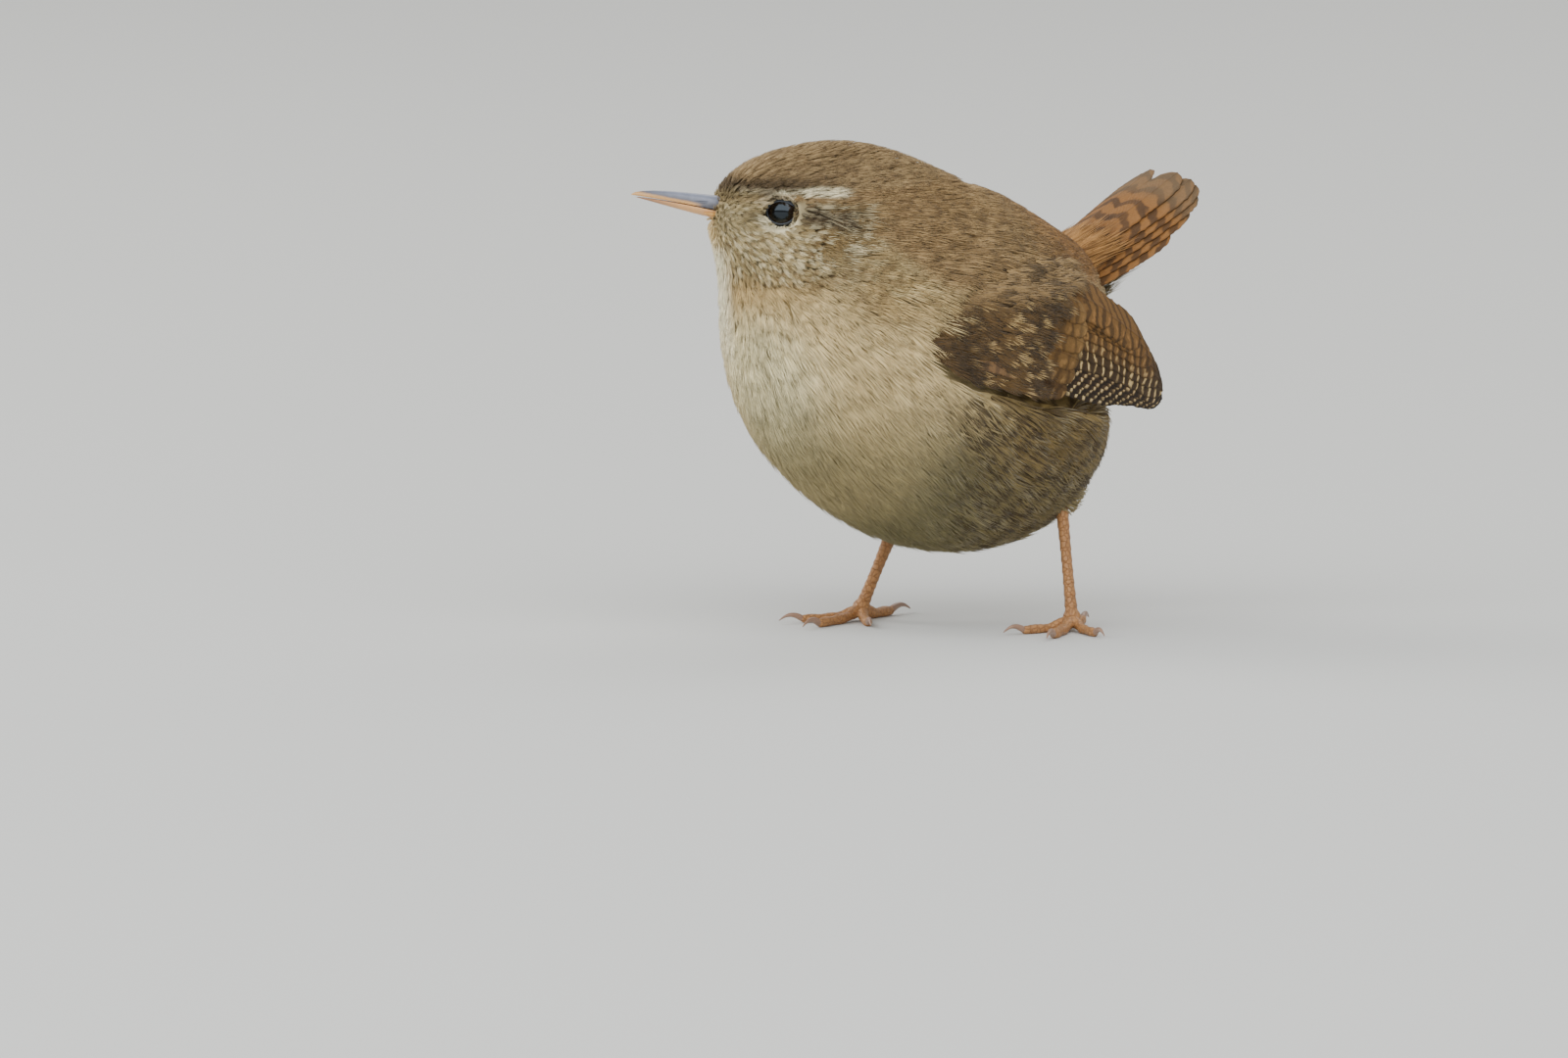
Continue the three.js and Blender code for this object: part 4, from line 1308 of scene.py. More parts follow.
@dataclass(frozen=True)
class TailSlopes:
    """The two slopes of the cocked tail, from its root in the rump."""

    slope: float = 0.287
    yaw: float = 5.0

    def __call__(self, across: Array, out: Array) -> tuple[Array, Array]:
        """The surface and the way it faces, at a place across and a distance out."""
        across, out = np.asarray(across, float), np.asarray(out, float)
        rise = math.radians(POSE.rise)
        along = np.array([0, math.cos(rise), math.sin(rise)])
        over = np.array([0, -math.sin(rise), math.cos(rise)])
        ridge = np.hypot(across, 2.0)
        point = out[..., None] * along - (self.slope * (ridge - 2))[..., None] * over
        point = point + across[..., None] * np.array([1.0, 0, 0])
        normal = over + (self.slope * across / ridge)[..., None] * np.array([1.0, 0, 0])
        c, s = math.cos(math.radians(-self.yaw)), math.sin(math.radians(-self.yaw))
        turn = np.array([[c, -s, 0], [s, c, 0], [0, 0, 1]])
        return point @ turn.T + np.array(POSE.tail), unit(normal) @ turn.T


@dataclass(frozen=True)
class Feather:
    """One vane: where it starts and ends on its surface, and its shape, in millimetres."""

    root: tuple[float, float]
    tip: tuple[float, float]
    half: float
    bend: float = 0.0
    lift: tuple[float, float] = (0.0, 0.0)
    tilt: float = 0.0
    stem: float = 0.62
    round_from: float = 0.70
    outer: float = -1.0


def mix(a: float, b: float, t: float) -> float:
    """A value between two others."""
    return a + (b - a) * t


@dataclass
class Vanes:
    """Makes thin curved vanes with a raised shaft and a ragged edge."""

    surface: Surface
    mirror: bool = False
    rows: int = 44
    sides: tuple[float, ...] = (-1.0, -0.86, -0.66, -0.44, -0.22, -0.06, 0.0, 0.06, 0.22, 0.44, 0.66, 0.86, 1.0)
    solid_depth: float = 0.55
    depth: float = 0.13
    shaft: float = 0.1
    fray: float = 0.05
    jitter: float = 0.0
    seed: int = 3

    def grid(self, feather: Feather, rank: float, rng: np.random.Generator) -> tuple[Array, Array]:
        """The points of one vane.

        Args:
            feather: The vane's sizes.
            rank: Its place in the row, from 0 for the lowest to 1.
            rng: Where the small differences come from.

        Returns:
            Points of the upper and then the lower face, and across, along and rank for each.
        """
        share = 1 - (1 - np.linspace(0, 1, self.rows)) ** 1.25
        side = np.array(self.sides)
        root = np.array(feather.root)
        tip = np.array(feather.tip) - np.array([1.0, 0.4]) * self.jitter * rng.uniform(0, 1)
        run = tip - root
        length = float(np.linalg.norm(run))
        left = np.array([-run[1], run[0]]) / length
        body = feather.stem + (1 - feather.stem) * smooth(share, 0, 0.65)
        end = np.clip((share - feather.round_from) / (1 - feather.round_from), 0, 1)
        width = body * np.sqrt(np.maximum(1 - end ** 2.4, 0.0008))
        middle = root + share[:, None] * run + left * (feather.bend * 4 * share * (1 - share))[:, None]
        ragged = 1 + self.fray * rng.uniform(-1, 1, (self.rows, len(side))) * (np.abs(side) > 0.8)
        place = middle[:, None] + left * (side[None] * width[:, None] * feather.half * ragged)[..., None]
        point, normal = self.surface(place[..., 0], place[..., 1])
        low = feather.lift[0] + (feather.lift[1] - feather.lift[0]) * share[:, None]
        low = low + side[None] * feather.tilt * width[:, None]
        top = low + self.solid_depth + self.shaft * np.exp(-((side / 0.07) ** 2))[None] * (1 - 0.6 * share[:, None])
        top = top - 0.10 * side[None] ** 2 + 0.02 * rng.uniform(-1, 1, top.shape)
        thin = self.depth * (1 - 0.55 * side[None] ** 2)
        upper = point + normal * top[..., None]
        lower = point + normal * (top - thin)[..., None]
        if self.mirror:
            upper, lower = upper * [-1, 1, 1], lower * [-1, 1, 1]
        across = np.broadcast_to(side * feather.outer, top.shape)
        along = np.broadcast_to((share * length)[:, None], top.shape)
        marks = np.stack([across, along, np.full(top.shape, rank)], axis=-1)
        points = np.concatenate([upper.reshape(-1, 3), lower.reshape(-1, 3)])
        return points, np.concatenate([marks.reshape(-1, 3)] * 2)

    def faces(self) -> Array:
        """Quads of one vane's closed shell."""
        rows, columns = self.rows, len(self.sides)
        half = rows * columns
        quads = []
        for i in range(rows - 1):
            for j in range(columns - 1):
                a, b = i * columns + j, i * columns + j + 1
                quads.append((a, b, b + columns, a + columns))
                quads.append((half + a, half + a + columns, half + b + columns, half + b))
        for i in range(rows - 1):
            a = i * columns
            quads.append((a, a + columns, half + a + columns, half + a))
            b = a + columns - 1
            quads.append((b, half + b, half + b + columns, b + columns))
        for j in range(columns - 1):
            quads.append((j, half + j, half + j + 1, j + 1))
            b = (rows - 1) * columns + j
            quads.append((b, b + 1, half + b + 1, half + b))
        return np.array(quads)

    def build(self, name: str, feathers: Sequence[Feather], material: bpy.types.Material) -> bpy.types.Object:
        """Makes one piece of several vanes.

        Args:
            name: The piece's name.
            feathers: The vanes, from the lowest to the one on top.
            material: Their material.

        Returns:
            The new piece.
        """
        rng = np.random.default_rng(self.seed + len(feathers) + (5 if self.mirror else 0))
        quads = self.faces()
        last = max(len(feathers) - 1, 1)
        grids = [self.grid(feather, i / last, rng) for i, feather in enumerate(feathers)]
        count = len(grids[0][0])
        points = np.concatenate([grid[0] for grid in grids])
        marks = np.concatenate([grid[1] for grid in grids])
        faces = np.concatenate([quads + i * count for i in range(len(grids))])
        p = grids[0][0]
        columns = len(self.sides)
        centre = (self.rows // 2) * columns + columns // 2
        turn = np.cross(p[centre + 1] - p[centre], p[centre + columns] - p[centre])
        out = p[centre] - p[centre + self.rows * columns]
        if np.dot(turn, out) < 0:
            faces = faces[:, ::-1]
        piece = mesh_piece(name, to_row(points), faces, material)
        store(piece, "vane", "FLOAT_VECTOR", marks)
        return piece


@dataclass
class Wing:
    """A folded wing: flight feathers under two rows of coverts, and small feathers over the arm."""

    side: str
    coat: Coat
    dome: WingDome = field(default_factory=WingDome)
    outline: tuple[tuple[float, float, float], ...] = (
        (-14, 38.8, 41), (-12, 37, 43.6), (-9, 35.2, 46), (-4, 34, 48), (1, 33, 49), (6, 32, 49.4), (11, 31, 49),
    )

    @property
    def mirror(self) -> bool:
        """Whether this is the right wing."""
        return self.side == "right"

    def primaries(self) -> list[Feather]:
        """The long outer feathers, from the lowest."""
        made = []
        for i in range(7):
            t, layer = i / 6, i / 14
            tip = (mix(21.6, 32, min(t * 2.4, 1)), mix(31.1, 30.5, t) - 1.2 * math.sin(t * math.pi))
            lift = (mix(-0.6, -0.5, layer), mix(-0.15, 0.4, layer))
            root = (mix(-6, 4, t), mix(36, 37.5, t))
            made.append(Feather(root, tip, mix(1.5, 2.1, t), mix(0.4, 1.3, t), lift, -0.3))
        return made

    def secondaries(self) -> list[Feather]:
        """The secondaries and, on top, the three tertials."""
        made = []
        for i in range(5):
            t, layer = i / 4, (i + 7) / 14
            tip = (mix(31.4, 26.2, t ** 1.2), mix(31.2, 37.4, t))
            lift = (mix(-0.6, -0.5, layer), mix(-0.15, 0.4, layer))
            made.append(Feather((mix(3, 6, t), mix(38, 43.5, t)), tip, 2.5, mix(1.6, 1.3, t), lift, -0.3))
        for i in range(3):
            t, layer = i / 2, (i + 12) / 14
            tip = (mix(24.4, 18, t), mix(38.6, 42.4, t))
            lift = (mix(-0.6, -0.5, layer), mix(-0.15, 0.4, layer))
            made.append(Feather((mix(6, 5, t), mix(44, 46.5, t)), tip, mix(2.8, 3, t), mix(1.2, 0.8, t), lift, -0.3))
        return made

    def greater_coverts(self) -> list[Feather]:
        """The lower row of coverts, with the alula at its front."""
        made = [Feather((-5, 36.2), (4.5, 34.4), 1.3, 0.3, (-0.65, 0.5), -0.22, 0.7)]
        for i in range(6):
            t = i / 5
            tip = (mix(6.5, 12.2, t ** 0.8), mix(33.6, 43, t))
            made.append(Feather((mix(-4, 0, t), mix(36.2, 46, t)), tip, 2.1, 0.5, (-0.65, 0.5), -0.22, 0.7))
        return made

    def median_coverts(self) -> list[Feather]:
        """The upper row of coverts."""
        made = []
        for i in range(7):
            t = i / 6
            root = (mix(-8.5, -4.5, t), mix(38, 46.6, t))
            made.append(Feather(root, (mix(-0.6, 4.2, t), mix(36.8, 44.4, t)), 1.55, 0.3, (-0.65, 0.75), -0.2, 0.7))
        return made

    def bed(self) -> bpy.types.Object:
        """The arm under the coverts, a thin slab on the dome."""
        rows, columns = 40, 24
        stops = np.array(self.outline)
        y = np.linspace(-13.6, 10.8, rows)
        low = np.interp(y, stops[:, 0], stops[:, 1]) + 0.7
        high = np.interp(y, stops[:, 0], stops[:, 2]) - 0.7
        z = low[:, None] + (high - low)[:, None] * np.linspace(0, 1, columns)[None]
        point, normal = self.dome(np.broadcast_to(y[:, None], z.shape), z)
        edge = np.minimum(np.linspace(0, 1, columns), np.linspace(1, 0, columns))[None]
        up = (-0.55 + 0.45 * smooth(edge, 0, 0.25))[..., None]
        upper, lower = point + normal * up, point - normal * 1.7
        flip = [-1, 1, 1] if self.mirror else [1, 1, 1]
        points = np.concatenate([upper.reshape(-1, 3), lower.reshape(-1, 3)]) * flip
        shell = Vanes(self.dome, rows=rows, sides=tuple(np.linspace(-1, 1, columns)))
        faces = shell.faces()[:, ::-1] if self.mirror else shell.faces()
        finish = SkinFinish(f"{self.side} wing skin").make()
        piece = mesh_piece(f"wing_{self.side}_arm", to_row(points), faces, finish)
        store(piece, "tint", "FLOAT_COLOR", np.tile([*Tint.SHOULDER.linear * 0.8, 1.0], (len(points), 1)))
        return piece

    def lesser_coverts(self) -> None:
        """Small soft feathers over the arm and the wing's bend."""
        rng = np.random.default_rng(21)
        stops = np.array(self.outline)
        y = rng.uniform(-14.3, 12.0, 9000)
        low, high = np.interp(y, stops[:, 0], stops[:, 1]), np.interp(y, stops[:, 0], stops[:, 2])
        z = low + (high - low) * rng.uniform(0.02, 1.05, len(y))
        inner = np.clip((z - 37.0) / 11.0, 0, 1)
        ahead = y < -0.5 + 12.5 * inner ** 2 + 1.2 * np.sin(z * 1.9)
        y, z = y[ahead], z[ahead]
        cell = np.floor(np.c_[y, z] / 0.85).astype(int)
        _, first = np.unique(cell, axis=0, return_index=True)
        y, z = y[first], z[first]
        point, normal = self.dome(y, z)
        ahead_point, _ = self.dome(y + 0.5, z - 0.16)
        flow = unit(ahead_point - point)
        rise = 1.5 * smooth(y, -10, -1) * (1 - 0.7 * smooth(z, 45.5, 49.0))
        place = point + normal * (rise - 0.25)[:, None]
        uv = np.c_[(y + 15) / 60 + (0.5 if self.mirror else 0.0), (z - 30) / 40]
        if self.mirror:
            place, normal, flow = (v * [-1, 1, 1] for v in (place, normal, flow))
        kind = np.full(len(y), Stretch.SHOULDER.number)
        self.coat.make_tufts(f"shoulder_{self.side}", place, normal, kind, uv, None, flow, shoulder_colours)

    def build(self, finishes: dict[str, bpy.types.Material]) -> None:
        """Makes the wing's pieces with the vanes' materials.

        Args:
            finishes: The vanes' materials, by the row's name.
        """
        node = f"wing_{self.side}"
        vanes = Vanes(self.dome, self.mirror, jitter=0.8)
        dress(self.bed(), "wing", node)
        groups = {
            "primaries": self.primaries(),
            "secondaries": self.secondaries(),
            "greater_coverts": self.greater_coverts(),
            "median_coverts": self.median_coverts(),
        }
        for name, feathers in groups.items():
            dress(vanes.build(f"{node}_{name}", feathers, finishes[name]), "wing", node)
        self.lesser_coverts()


@dataclass
class Tail:
    """The short cocked tail, six feathers a side, the central pair on top."""

    length: float = 30.4
    pairs: int = 6
    slopes: TailSlopes = TailSlopes()

    def vanes(self, finish: bpy.types.Material) -> None:
        """The twelve tail feathers."""
        feathers = []
        for i in reversed(range(self.pairs)):
            for side in (1, -1):
                t = i / (self.pairs - 1)
                tip = (side * mix(2.9, 9.6, t ** 0.6), self.length * (1 - 0.3 * t ** 3.2))
                lift = (mix(0.7, -0.7, t), mix(0.4, -0.6, t))
                root, bend = (side * mix(0.9, 4.4, t), 0.0), side * mix(-0.3, -0.9, t)
                feathers.append(Feather(root, tip, mix(3.0, 2.3, t), bend, lift, -0.12 * side, 0.5, 0.84, -side))
        dress(Vanes(self.slopes, rows=52).build("tail_feathers", feathers, finish), "tail", "tail")

    def coverts(self, coat: Coat) -> None:
        """Soft feathers over and under the tail's root.

        Args:
            coat: What makes the tufts.
        """
        rng = np.random.default_rng(41)
        for name, up, reach, wide, paint in (
            ("uppertail", 1.0, (3.0, 11.5), 5.8, rump_colours),
            ("undertail", -1.0, (2.0, 11.0), 6.0, undertail_colours),
        ):
            out = rng.uniform(*reach, 1600)
            across = rng.uniform(-wide, wide, 1600)
            _, first = np.unique(np.floor(np.c_[across, out] / 0.95).astype(int), axis=0, return_index=True)
            across, out = across[first], out[first]
            point, normal = self.slopes(across, out)
            ahead, _ = self.slopes(across * 1.04, out + 1.0)
            above = 1.75 - 0.35 * np.maximum(np.abs(across) - 4.0, 0)
            below = 1.0 + 3.2 * smooth(16 - out, 0, 10)
            place = point + normal * up * (above if up > 0 else below)[:, None]
            flow = unit(ahead - point - normal * up * 0.12)
            uv = np.c_[(across + 8) / 40 + (0.5 if up < 0 else 0.0), (out + 6) / 40]
            kind = np.full(len(out), Stretch.TAIL_COVERT.number)
            coat.make_tufts(name, place, normal * up, kind, uv, None, flow, paint)


# Bill, eyes and legs


@dataclass
class Bill:
    """The slender bill, with the cutting edges and the corner of the mouth."""

    grain: float = 0.11
    lower_shift: float = 0.2
    rise: float = 12.0

    def marks(self, p: Array) -> Array:
        """Points in the bill's own frame: across, millimetres out from the feathers, and height over the mouth."""
        h = POSE.to_head(p) - np.array(POSE.bill)
        c, s = math.cos(math.radians(self.rise)), math.sin(math.radians(self.rise))
        out, up = -h[:, 1], h[:, 2]
        return np.c_[h[:, 0], out * c + up * s, up * c - out * s]

    def build(self) -> None:
        """Makes both halves."""
        for node, slot, lift, finish in (
            ("bill_upper", "upper_bill", 0.0, UpperBillFinish()),
            ("bill_lower", "lower_bill", self.lower_shift, LowerBillFinish()),
        ):
            piece = copy_of([node], f"{node}_horn")
            apply_modifier(piece, "close", "REMESH", mode="VOXEL", voxel_size=self.grain * MM)
            apply_modifier(piece, "soften", "SMOOTH", factor=0.5, iterations=3)
            points = points_of(piece)
            points[:, 2] += lift * MM
            piece.data.vertices.foreach_set("co", points.astype(np.float32).ravel())
            piece.data.update()
            store(piece, "bill", "FLOAT_VECTOR", self.marks(to_bird(points)))
            only(piece)
            bpy.ops.object.shade_smooth()
            piece.data.materials.append(finish.make())
            dress(piece, slot, node)
        self.gape(PlainFinish("soft yellow gape", (204, 150, 76), 0.45).make())

    def gape(self, finish: bpy.types.Material) -> None:
        """The soft corner of the mouth on each side, laid on the bill's root and the face.

        Args:
            finish: Its material.
        """
        face = tree_of(*[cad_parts[name] for name in ("head", "bill_upper", "bill_lower")])
        t = np.linspace(0, 1, 26)
        points, faces = [], []
        for side in (1, -1):
            guide = np.array(POSE.bill) + np.c_[side * (1.4 + 1.3 * t), -1.4 + 3.4 * t, -0.3 - 1.0 * t ** 1.3]
            path = []
            for spot, share in zip(guide, t):
                at, out, _, _ = face.find_nearest(Vector(to_row(POSE.from_head(spot))))
                path.append(to_bird(np.array(at)) + np.array(out) * (0.10 + 0.30 * share))
            wide = 0.40 * np.sin(np.clip(t, 0.03, 0.97) * math.pi) ** 0.6
            over = POSE.from_head(np.array([side, 0.0, 0.0])) - POSE.from_head(np.zeros(3))
            own, quads = Leg.tube(np.array(path), wide * 0.8, wide, over)
            faces.append(quads + sum(len(p) for p in points))
            points.append(own)
        piece = mesh_piece("gape", to_row(np.concatenate(points)), np.concatenate(faces), finish)
        dress(piece, "lower_bill")


@dataclass
class Eye:
    """An eye and the bare rim of its lids."""

    side: str
    radius: float = 2.5
    opening: tuple[float, float] = (1.84, 1.46)
    rim: float = 0.15

    @property
    def sign(self) -> int:
        """1 for the left eye."""
        return 1 if self.side == "left" else -1

    def frame(self) -> tuple[Array, Array, Array, Array]:
        """The eye's centre, its way of looking, its rear and its up, in the bird's frame."""
        axis = POSE.eye_axis(self.sign)
        up = unit(np.array([0, 0, 1.0]) - axis * axis[2])
        rear = np.cross(up, axis) * self.sign
        if POSE.to_head(POSE.eye_centre(self.sign) + rear)[1] < POSE.to_head(POSE.eye_centre(self.sign))[1]:
            rear = -rear
        return POSE.eye_centre(self.sign), axis, rear, up

    def ball(self, finish: bpy.types.Material) -> None:
        """The eyeball, a finely rounded sphere with a low clear bulge in front.

        Args:
            finish: Its material.
        """
        centre, axis, _, _ = self.frame()
        bpy.ops.object.select_all(action="DESELECT")
        place = Vector(to_row(centre))
        bpy.ops.mesh.primitive_ico_sphere_add(subdivisions=6, radius=self.radius * MM, location=place)
        piece = bpy.context.active_object
        piece.name = f"eye_{self.side}_ball"
        bpy.ops.object.transform_apply(location=True, rotation=True, scale=True)
        own = to_bird(points_of(piece)) - centre
        forward = own @ axis
        radial = np.linalg.norm(own - forward[:, None] * axis, axis=1)
        bulge = 0.10 * smooth(1.9 - radial, 0, 1.2) * (forward > 0)
        moved = own + axis * bulge[:, None]
        piece.data.vertices.foreach_set("co", to_row(centre + moved).astype(np.float32).ravel())
        piece.data.update()
        store(piece, "gaze", "FLOAT_VECTOR", np.c_[radial, forward, own[:, 2]])
        bpy.ops.object.shade_smooth()
        piece.data.materials.append(finish)
        dress(piece, "eye", f"eye_{self.side}")

    def lids(self, finish: bpy.types.Material) -> None:
        """The rim of the lids, an almond ring that lies on the eyeball and runs back under the feathers.

        Args:
            finish: Its material.
        """
        centre, axis, rear, up = self.frame()
        turns, rings = 72, 12
        a = np.linspace(0, 2 * math.pi, turns, endpoint=False)
        almond = 1 + 0.16 * np.exp(-((np.angle(np.exp(1j * (a - 0.28))) / 0.32) ** 2))
        edge = np.c_[self.opening[0] * np.cos(a), self.opening[1] * np.sin(a)] * almond[:, None]
        edge[:, 1] *= np.where(edge[:, 1] > 0, 0.97, 1.0)
        profile = np.linspace(0, 1, rings)
        bead = 2.2 * self.rim
        spread = np.append(profile * bead, bead + 0.9)
        high = np.append(self.rim * np.sin(profile * math.pi) ** 0.8, -0.75)
        grow = 1 + spread[:, None] / np.linalg.norm(edge, axis=1)[None]
        flat = edge[None] * grow[..., None]
        reach = np.linalg.norm(flat, axis=2)
        shell = self.radius + 0.05
        depth = np.sqrt(np.maximum(shell ** 2 - reach ** 2, 0.04))
        lift = np.broadcast_to(high[:, None], reach.shape)
        level = centre + flat[..., :1] * rear + flat[..., 1:] * up
        points = level + (depth + lift)[..., None] * axis
        under = level + (depth - 0.3 + np.minimum(lift, 0))[..., None] * axis
        both = np.concatenate([points.reshape(-1, 3), under.reshape(-1, 3)])
        half, faces = (rings + 1) * turns, []
        for i in range(rings):
            for j in range(turns):
                k = (j + 1) % turns
                quad = (i * turns + j, i * turns + k, (i + 1) * turns + k, (i + 1) * turns + j)
                faces.append(quad)
                faces.append(tuple(half + v for v in reversed(quad)))
        for i, turned in ((0, False), (rings, True)):
            for j in range(turns):
                k = (j + 1) % turns
                quad = (i * turns + j, half + i * turns + j, half + i * turns + k, i * turns + k)
                faces.append(tuple(reversed(quad)) if turned else quad)
        faces = np.array(faces)
        first = both[faces[0]]
        if np.dot(np.cross(first[1] - first[0], first[3] - first[0]), axis) < 0:
            faces = faces[:, ::-1]
        piece = mesh_piece(f"eye_{self.side}_lids", to_row(both), faces, finish)
        dress(piece, "leg")

    def ring(self, coat: Coat) -> None:
        """The tiny pale feathers round the lids, broken in front and behind.

        Args:
            coat: What makes the tufts.
        """
        centre, axis, rear, up = self.frame()
        rng = np.random.default_rng(51)
        a = rng.uniform(0, 2 * math.pi, 260)
        from_front = np.abs(np.angle(np.exp(1j * (a - math.pi))))
        from_rear = np.abs(np.angle(np.exp(1j * (a + 0.35)))) + 0.25
        a = a[np.minimum(from_front, from_rear) > 0.55]
        flat = np.c_[(self.opening[0] + 0.46) * np.cos(a), (self.opening[1] + 0.46) * np.sin(a)]
        flat *= (1 + rng.uniform(-0.04, 0.08, len(a)))[:, None]
        reach = np.linalg.norm(flat, axis=1)
        place = centre + flat[:, :1] * rear + flat[:, 1:] * up
        place = place + (np.sqrt(np.maximum(self.radius ** 2 - reach ** 2, 0.04)) + 0.28)[:, None] * axis
        way = unit(flat[:, :1] * rear + flat[:, 1:] * up - 0.55 * axis)
        normal = unit(axis + 0.35 * way)
        uv = np.c_[0.1 + flat[:, 0] / 40, 0.1 + flat[:, 1] / 40]
        kind = np.full(len(a), Stretch.EYE_RING.number)
        coat.make_tufts(f"eye_ring_{self.side}", place, normal, kind, uv, None, way, ring_colours)

    def build(self, ball: bpy.types.Material, lid: bpy.types.Material, coat: Coat) -> None:
        """Makes the eye."""
        self.ball(ball)
        self.lids(lid)
        self.ring(coat)


@dataclass(frozen=True)
class Toe:
    """A toe's place on the foot and its size, in degrees and millimetres."""

    name: str
    turn: float
    length: float
    claw: float
    radius: float
    joints: int


@dataclass
class Leg:
    """A bare lower leg with overlapping plates, four jointed toes and their claws."""

    side: str
    foot: tuple[float, float]
    heel: tuple[float, float]
    facing: float
    inward: int
    bare: float
    foot_height: float = 1.75
    tarsus: float = 17.5
    radius: float = 0.68
    plates: int = 9
    knuckle: float = 1.22
    grain: float = 0.11
    toes: tuple[Toe, ...] = (
        Toe("hallux", 178, 7.2, 5, 0.82, 2),
        Toe("toe_inner", 38, 8.4, 3.6, 0.72, 2),
        Toe("toe_middle", 0, 11, 4.2, 0.78, 3),
        Toe("toe_outer", -34, 8.8, 3.6, 0.7, 3),
    )

    @property
    def base(self) -> Array:
        """The middle of the knuckle that the toes spring from."""
        return np.array([*self.foot, self.foot_height])

    @property
    def axis(self) -> Array:
        """The way up along the lower leg."""
        flat = np.array(self.heel) - np.array(self.foot)
        rise = math.sqrt(self.tarsus ** 2 - float(flat @ flat))
        return unit(np.array([*flat, rise]))

    @staticmethod
    def tube(path: Array, wide: Array, deep: Array, over: Array, sides: int = 20) -> tuple[Array, Array]:
        """A closed tube around a path.

        Args:
            path: The middle of each ring.
            wide: Each ring's half width.
            deep: Each ring's half depth along the second way.
            over: The second way.
            sides: The points round each ring.

        Returns:
            Points, and quads with the ends closed on a point each.
        """
        way = unit(np.gradient(path, axis=0))
        across = unit(np.cross(way, over))
        up = np.cross(across, way)
        a = np.linspace(0, 2 * math.pi, sides, endpoint=False)
        rings = path[:, None] + across[:, None] * (wide[:, None] * np.cos(a))[..., None]
        rings = rings + up[:, None] * (deep[:, None] * np.sin(a))[..., None]
        count = len(path)
        points = np.concatenate([rings.reshape(-1, 3), path[:1], path[-1:]])
        faces = []
        for i in range(count - 1):
            for j in range(sides):
                k = (j + 1) % sides
                faces.append((i * sides + j, i * sides + k, (i + 1) * sides + k, (i + 1) * sides + j))
        for j in range(0, sides, 2):
            k, m = (j + 1) % sides, (j + 2) % sides
            faces.append((count * sides, m, k, j))
            last = (count - 1) * sides
            faces.append((count * sides + 1, last + j, last + k, last + m))
        return points, np.array(faces)

    def shin(self) -> tuple[Array, Array]:
        """The lower leg with its plates, from inside the feathers to the knuckle."""
        stops = np.linspace(self.bare + 2.5, 0, 150)
        path = self.base + stops[:, None] * self.axis
        share = np.clip(1 - stops / self.bare, 0, 1)
        flare = 0.5 * (share - 0.45) ** 2
        plate = (stops / (self.bare / self.plates)) % 1.0
        step = 0.09 * (1 - plate) ** 1.5
        wide = self.radius + flare + step + 0.12 * smooth(share, 0.9, 1.0)
        facing = math.radians(self.facing)
        return self.tube(path, wide, wide * 1.3, np.array([math.sin(facing), -math.cos(facing), 0.05]))

    def toe_path(self, toe: Toe, distance: Array) -> tuple[Array, Array]:
        """A toe's middle line at distances from the knuckle, and its way over the floor.

        Args:
            toe: The toe.
            distance: Millimetres from the knuckle.

        Returns:
            Points of the line, and a unit vector.
        """
        heading = math.radians(self.facing + self.inward * toe.turn)
        axis = np.array([math.sin(heading), -math.cos(heading), 0.0])
        fall = np.clip(distance / (toe.length * 0.5), 0, 1)
        height = self.foot_height - 0.35
        height = height + (toe.radius * 0.8 - height) * (fall * fall * (3 - 2 * fall))
        point = self.base + distance[:, None] * axis
        point[:, 2] = height
        return point, axis

    def toe(self, toe: Toe) -> tuple[Array, Array]:
        """A jointed toe with a pad under each joint and rings of scales over it.

        Args:
            toe: The toe.

        Returns:
            Points, and quads.
        """
        share = np.linspace(0, 1, 110)
        path, _ = self.toe_path(toe, share * (toe.length + 0.25))
        pad = 0.5 - 0.5 * np.cos(share * toe.joints * 2 * math.pi)
        scale = (share * toe.joints * 5.0) % 1.0
        radius = toe.radius * (1.02 - 0.22 * share) * (0.86 + 0.2 * pad) + 0.05 * (1 - scale) ** 1.5
        radius = radius * np.sqrt(np.clip(1 - ((share - 0.93) / 0.075).clip(0) ** 2, 0.12, 1))
        points, faces = self.tube(path, radius, radius, np.array([0, 0, 1.0]))
        points[:, 2] = np.maximum(points[:, 2], 0.02)
        return points, faces

    def build(self, skin: bpy.types.Material, horn: bpy.types.Material) -> None:
        """Makes the leg and its claws.

        Args:
            skin: The leg's material.
            horn: The claws' material.
        """
        parts = [self.shin(), *[self.toe(toe) for toe in self.toes]]
        points, faces, start = [], [], 0
        for own, quads in parts:
            points.append(own)
            faces.append(quads + start)
            start += len(own)
        piece = mesh_piece(f"leg_{self.side}", to_row(np.concatenate(points)), np.concatenate(faces), skin)
        bpy.ops.object.select_all(action="DESELECT")
        knuckle = Vector(to_row(self.base))
        bpy.ops.mesh.primitive_ico_sphere_add(subdivisions=4, radius=self.knuckle * MM, location=knuckle)
        bpy.ops.object.transform_apply(location=True, rotation=True, scale=True)
        piece.select_set(True)
        bpy.context.view_layer.objects.active = piece
        bpy.ops.object.join()
        apply_modifier(piece, "close", "REMESH", mode="VOXEL", voxel_size=self.grain * MM)
        apply_modifier(piece, "soften", "SMOOTH", factor=0.5, iterations=2)
        only(piece)
        bpy.ops.object.shade_smooth()
        if not piece.data.materials:
            piece.data.materials.append(skin)
        names = [f"{toe.name}_{self.side}" for toe in self.toes]
        dress(piece, "leg", f"tarsus_{self.side}", *names)
        for toe in self.toes:
            self.claw(toe, horn)

